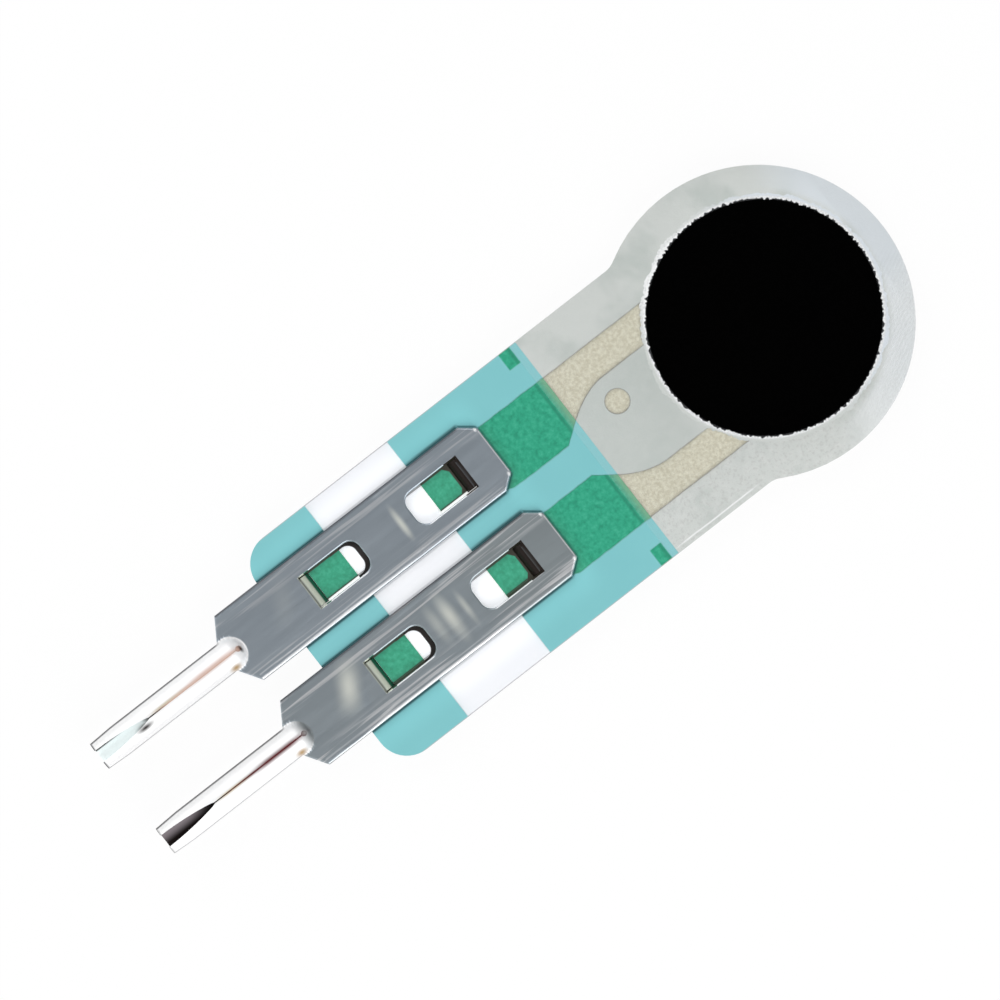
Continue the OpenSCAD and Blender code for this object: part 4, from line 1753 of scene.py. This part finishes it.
def edge_light(f, right, local):
    """Painted highlight lines on the right edges, beside the windows, at the front and on the front
    corners, and painted shade lines along the left edges and the very right edge.
    """
    wobble = (f.noise(0.9, 2.0) - 0.5) * 0.06
    body = f.over(f.y, BODY_END, 0.02) * f.under(f.y, Y_CONTACT - CHAMFER_L, 0.1)
    fade = 1 - f.over(f.y, BAND_Y - 0.15, 1.4) * 0.8
    fade = fade * (1 - right * f.under(f.y, SWIRL_Y - 0.05, 0.5))
    patchy = 0.5 + f.noise(0.7, 2.0, LONG_CLOUDS) * 0.8
    rim = f.line(local + wobble, BODY_HALF - 0.055, 0.05) * fade * patchy
    second = f.line(local - wobble, BODY_HALF - 0.15, 0.03) * (0.25 + fade * 0.15)
    side = f.line(local, WINDOW_HALF + 0.022, 0.03) * window_rows(f)
    dark = f.most(f.line(local, 0.025 - BODY_HALF, 0.06), f.line(local, BODY_HALF, 0.02))
    front = f.line(f.y, Y_CONTACT - 0.035, 0.03) * f.under(abs(local), 0.62, 0.05)
    glint = f.spot(abs(local), BODY_HALF - CHAMFER_W, Y_CONTACT - 0.08, 0.09, 0.06)
    return f.most(f.most(rim, second) * body, side * 0.7, front * 0.6, glint), dark * body


def bend_masks(f, local):
    """The bend of the rear tine, which gets a painted highlight, and that of the front tine, which
    gets painted deep shade.
    """
    down = f.under(f.z, Z_SHEET - 0.006, 0.005) * window_width(f, local)
    down = down * f.over(f.z, film_high.z, 0.01)
    rear = down * f.between(f.y, REAR_HINGE - 0.02, REAR_HINGE + 0.3, 0.01)
    front = down * f.between(f.y, FRONT_HINGE - 0.33, FRONT_HINGE + 0.04, 0.01)
    return rear, front


print("rear tines bend at", round(REAR_HINGE, 2), "and front tines at", round(FRONT_HINGE, 2))

# %% Colours of the pins
# White of the painted highlights on the edges, and of the pins, which are painted white as a
# reflection of the lamps.
HIGHLIGHT_WHITE = grey(0.970)
# Painted shade lines along the edges, round the pins and at the rear tine's hinge.
SHADE_LINE = (0.030, 0.030, 0.035)
SEAM_RED = (0.140, 0.020, 0.024)
SEAM_TAN = (0.660, 0.420, 0.330)
SEAM_GOLD = (0.560, 0.450, 0.270)
BRASS = (0.430, 0.250, 0.070)
NOSE_GREY = (0.225, 0.250, 0.258)
LINING = (0.600, 0.640, 0.640)
SAWN = (0.300, 0.310, 0.320)
GAPE_Y = -17.0


def from_axis(f, local):
    """Distance from the middle line of the nearer pin."""
    return f.length(local, f.z - PIN_Z)


def pin_mask(f, local):
    """1 on the rolled pin and its dome."""
    return f.under(f.length(local, f.most(f.y - DOME_Y, 0.0)), PIN_R + 0.03, 0.02)


def paint_outside(f, colour, pin, right, local):
    """The outside of a pin: painted white as a reflection, with painted dark outlines and a stained
    seam on its upper side.
    """
    nose = right * f.over(f.y, NOSE_Y - 0.16, 0.15)
    skin = f.over(from_axis(f, local), TIP_R - 0.025, 0.01)
    sawn = f.line(f.y, Y_TIP, 0.02) * (1 - skin) * pin
    narrow = f.most(Y_TIP + TIP_L - f.y, 0.0) * ((PIN_R - TIP_R) / TIP_L)
    # Painted shade: dark outlines along the sides of the pin and at its tip.
    outline = f.most(f.line(local - narrow, 0.015 - PIN_R, 0.045),
                     f.line(local + narrow, PIN_R - 0.008, 0.02) * 0.7,
                     f.line(f.y, Y_TIP, 0.06) * skin * (1 - right * 0.4))
    outline = outline * pin * f.under(f.y, NECK_Y, 0.1)
    upside = f.over(f.z, PIN_Z + 0.06, 0.05)
    seam_at = local + 0.03 - right * 0.03
    seam = f.most(f.line(seam_at, 0.0, 0.07) * f.between(f.y, GAPE_Y, MOUTH_Y, 0.25),
                  f.line(seam_at, 0.0, 0.12) * f.between(f.y, GAPE_Y + 1.1, MOUTH_Y - 0.1, 0.35))
    stain = f.blend(f.over(f.y, GAPE_Y + 0.7, 0.4), SEAM_GOLD,
                    f.blend(right, SEAM_TAN, SEAM_RED))
    corner = f.spot(local, 0.33, NECK_Y + 0.03, 0.12, 0.22) * pin * upside
    # Painted shade at the lip of the left pin's gape.
    lip_shade = f.spot(local, 0.135, GAPE_Y - 0.36, 0.10, 0.36) * (1 - right) * upside
    return f.paint(colour, (pin, f.blend(nose, HIGHLIGHT_WHITE, NOSE_GREY)), (sawn * 0.9, SAWN),
                   (outline, SHADE_LINE), (seam * upside * (0.75 + right * 0.2), stain),
                   (corner * 0.9, BRASS), (lip_shade, DEEP_SHADE))


print("white pins from", round(Y_TIP, 2), "to", round(NOSE_Y, 2))


# %% Inside the pins
# Painted light: the inside of the left pin, the closed seam, a sheen in the right pin's gape and
# its mouth.
LINING_GLOW = (0.46, 0.50, 0.50)
SEAM_GLOWS = (0.62, 0.42, 0.34), (0.10, 0.012, 0.016)
SHEEN_GLOW = (0.215, 0.190, 0.205)
MOUTH_GLOW = grey(0.20)


def paint_inside(f, colour, pin, right, local):
    """The channel in a pin, pale in the left one and in painted deep shade in the right one, and
    its painted glow.
    """
    inside = pin * f.under(from_axis(f, local), CHANNEL_R + 0.05, 0.03)
    inside = inside * f.under(f.y, DOME_Y, 0.01)
    spot = f.spot(local, 0.1, GAPE_Y - 0.38, 0.14, 0.34)
    # Painted deep shade in the channel: all of it in the right pin, and in the left one a spot, the
    # part where the gape closes and a line along its side.
    deep = f.most(right, spot, f.over(f.y, GAPE_Y - 0.3, 0.15), f.line(local, -0.16, 0.05))
    closed = inside * f.over(f.y, Y_TIP + GAPE_L + 0.35, 0.3)
    sheen = inside * right * f.under(local, -0.02, 0.12) * f.under(f.y, GAPE_Y - 0.6, 0.4)
    # Painted light that fills the mouth of the right pin.
    faded = f.spot(local, 0.0, MOUTH_Y, 0.12, 0.12) * right
    # Painted shade in the nose of the left pin.
    crescent = f.spot(local, 0.045, NOSE_Y - 0.11, 0.14, 0.065) * (1 - right)
    colour = f.paint(colour, (inside, f.blend(deep, LINING, DEEP_SHADE)), (crescent, DEEP_SHADE))
    glow = f.paint(BLACK, (inside * (1 - deep), LINING_GLOW),
                   (closed, f.blend(right, *SEAM_GLOWS)), (sheen, SHEEN_GLOW),
                   (faded, MOUTH_GLOW))
    return colour, glow


print("channel of a pin", 2 * CHANNEL_R, "mm wide")


# %% The metal as a whole
# Painted highlight on the rear tine's bend, and painted shade where the bend meets the film.
BEND_HIGHLIGHT = (0.560, 0.600, 0.500)
BEND_SHADE = (0.020, 0.120, 0.070)
PAINTED = 0.8


def tin_finish():
    f = Finish("tinned_metal")
    right, local = from_contact(f)
    tone, streaks, cloud = streaky_tone(f, right, local)
    shine, dent_shade = dent_light(f, right, local, cloud)
    bright, dark = edge_light(f, right, local)
    rear, front = bend_masks(f, local)
    # The rear bend in painted highlight, then painted shade, with a painted shade line at the
    # hinge; the front bend in painted deep shade.
    facet = f.paint(BEND_HIGHLIGHT, (f.over(f.y, REAR_HINGE + 0.165, 0.02), BEND_SHADE),
                    (f.line(f.y, REAR_HINGE + 0.015, 0.05) * 0.8, SHADE_LINE))
    colour = f.paint(tone, (shine, DENT_HIGHLIGHT), (dent_shade, TIN_DARK), (bright, HIGHLIGHT_WHITE),
                     (dark * 0.9, SHADE_LINE), (rear, facet), (front, DEEP_SHADE))
    pin = pin_mask(f, local)
    colour = paint_outside(f, colour, pin, right, local)
    colour, glow = paint_inside(f, colour, pin, right, local)
    matt = f.most(bright * PAINTED, rear * PAINTED, pin * PAINTED, front, shine * 0.35)
    height = streaks + f.noise(24.0, 2.0, (1.0, 0.25, 1.0)) * 0.05
    return f.surface({"Base Color": colour, "Metallic": 1 - matt,
                      "Roughness": 0.34 + streaks * 0.10, "Specular IOR Level": 0.15,
                      "Emission Color": glow, "Emission Strength": 1.0,
                      "Normal": f.bump(height, 0.010)})


tin = tin_finish()


# %% [markdown]
# ## Place the contacts
#
# Both contacts are stamped by the same tool, so both come from the same function. Only the depth
# of their dents differs, and the finish tells left from right by where it is.

# %% Place the contacts
for name, side in (("left_contact", -1), ("right_contact", 1)):
    contact = show("crimped_" + name, contact_mesh(name, side), tin, smooth_angle=40)
    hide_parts(name)

# %% [markdown]
# The dressed part has to stay inside the imported part's box.
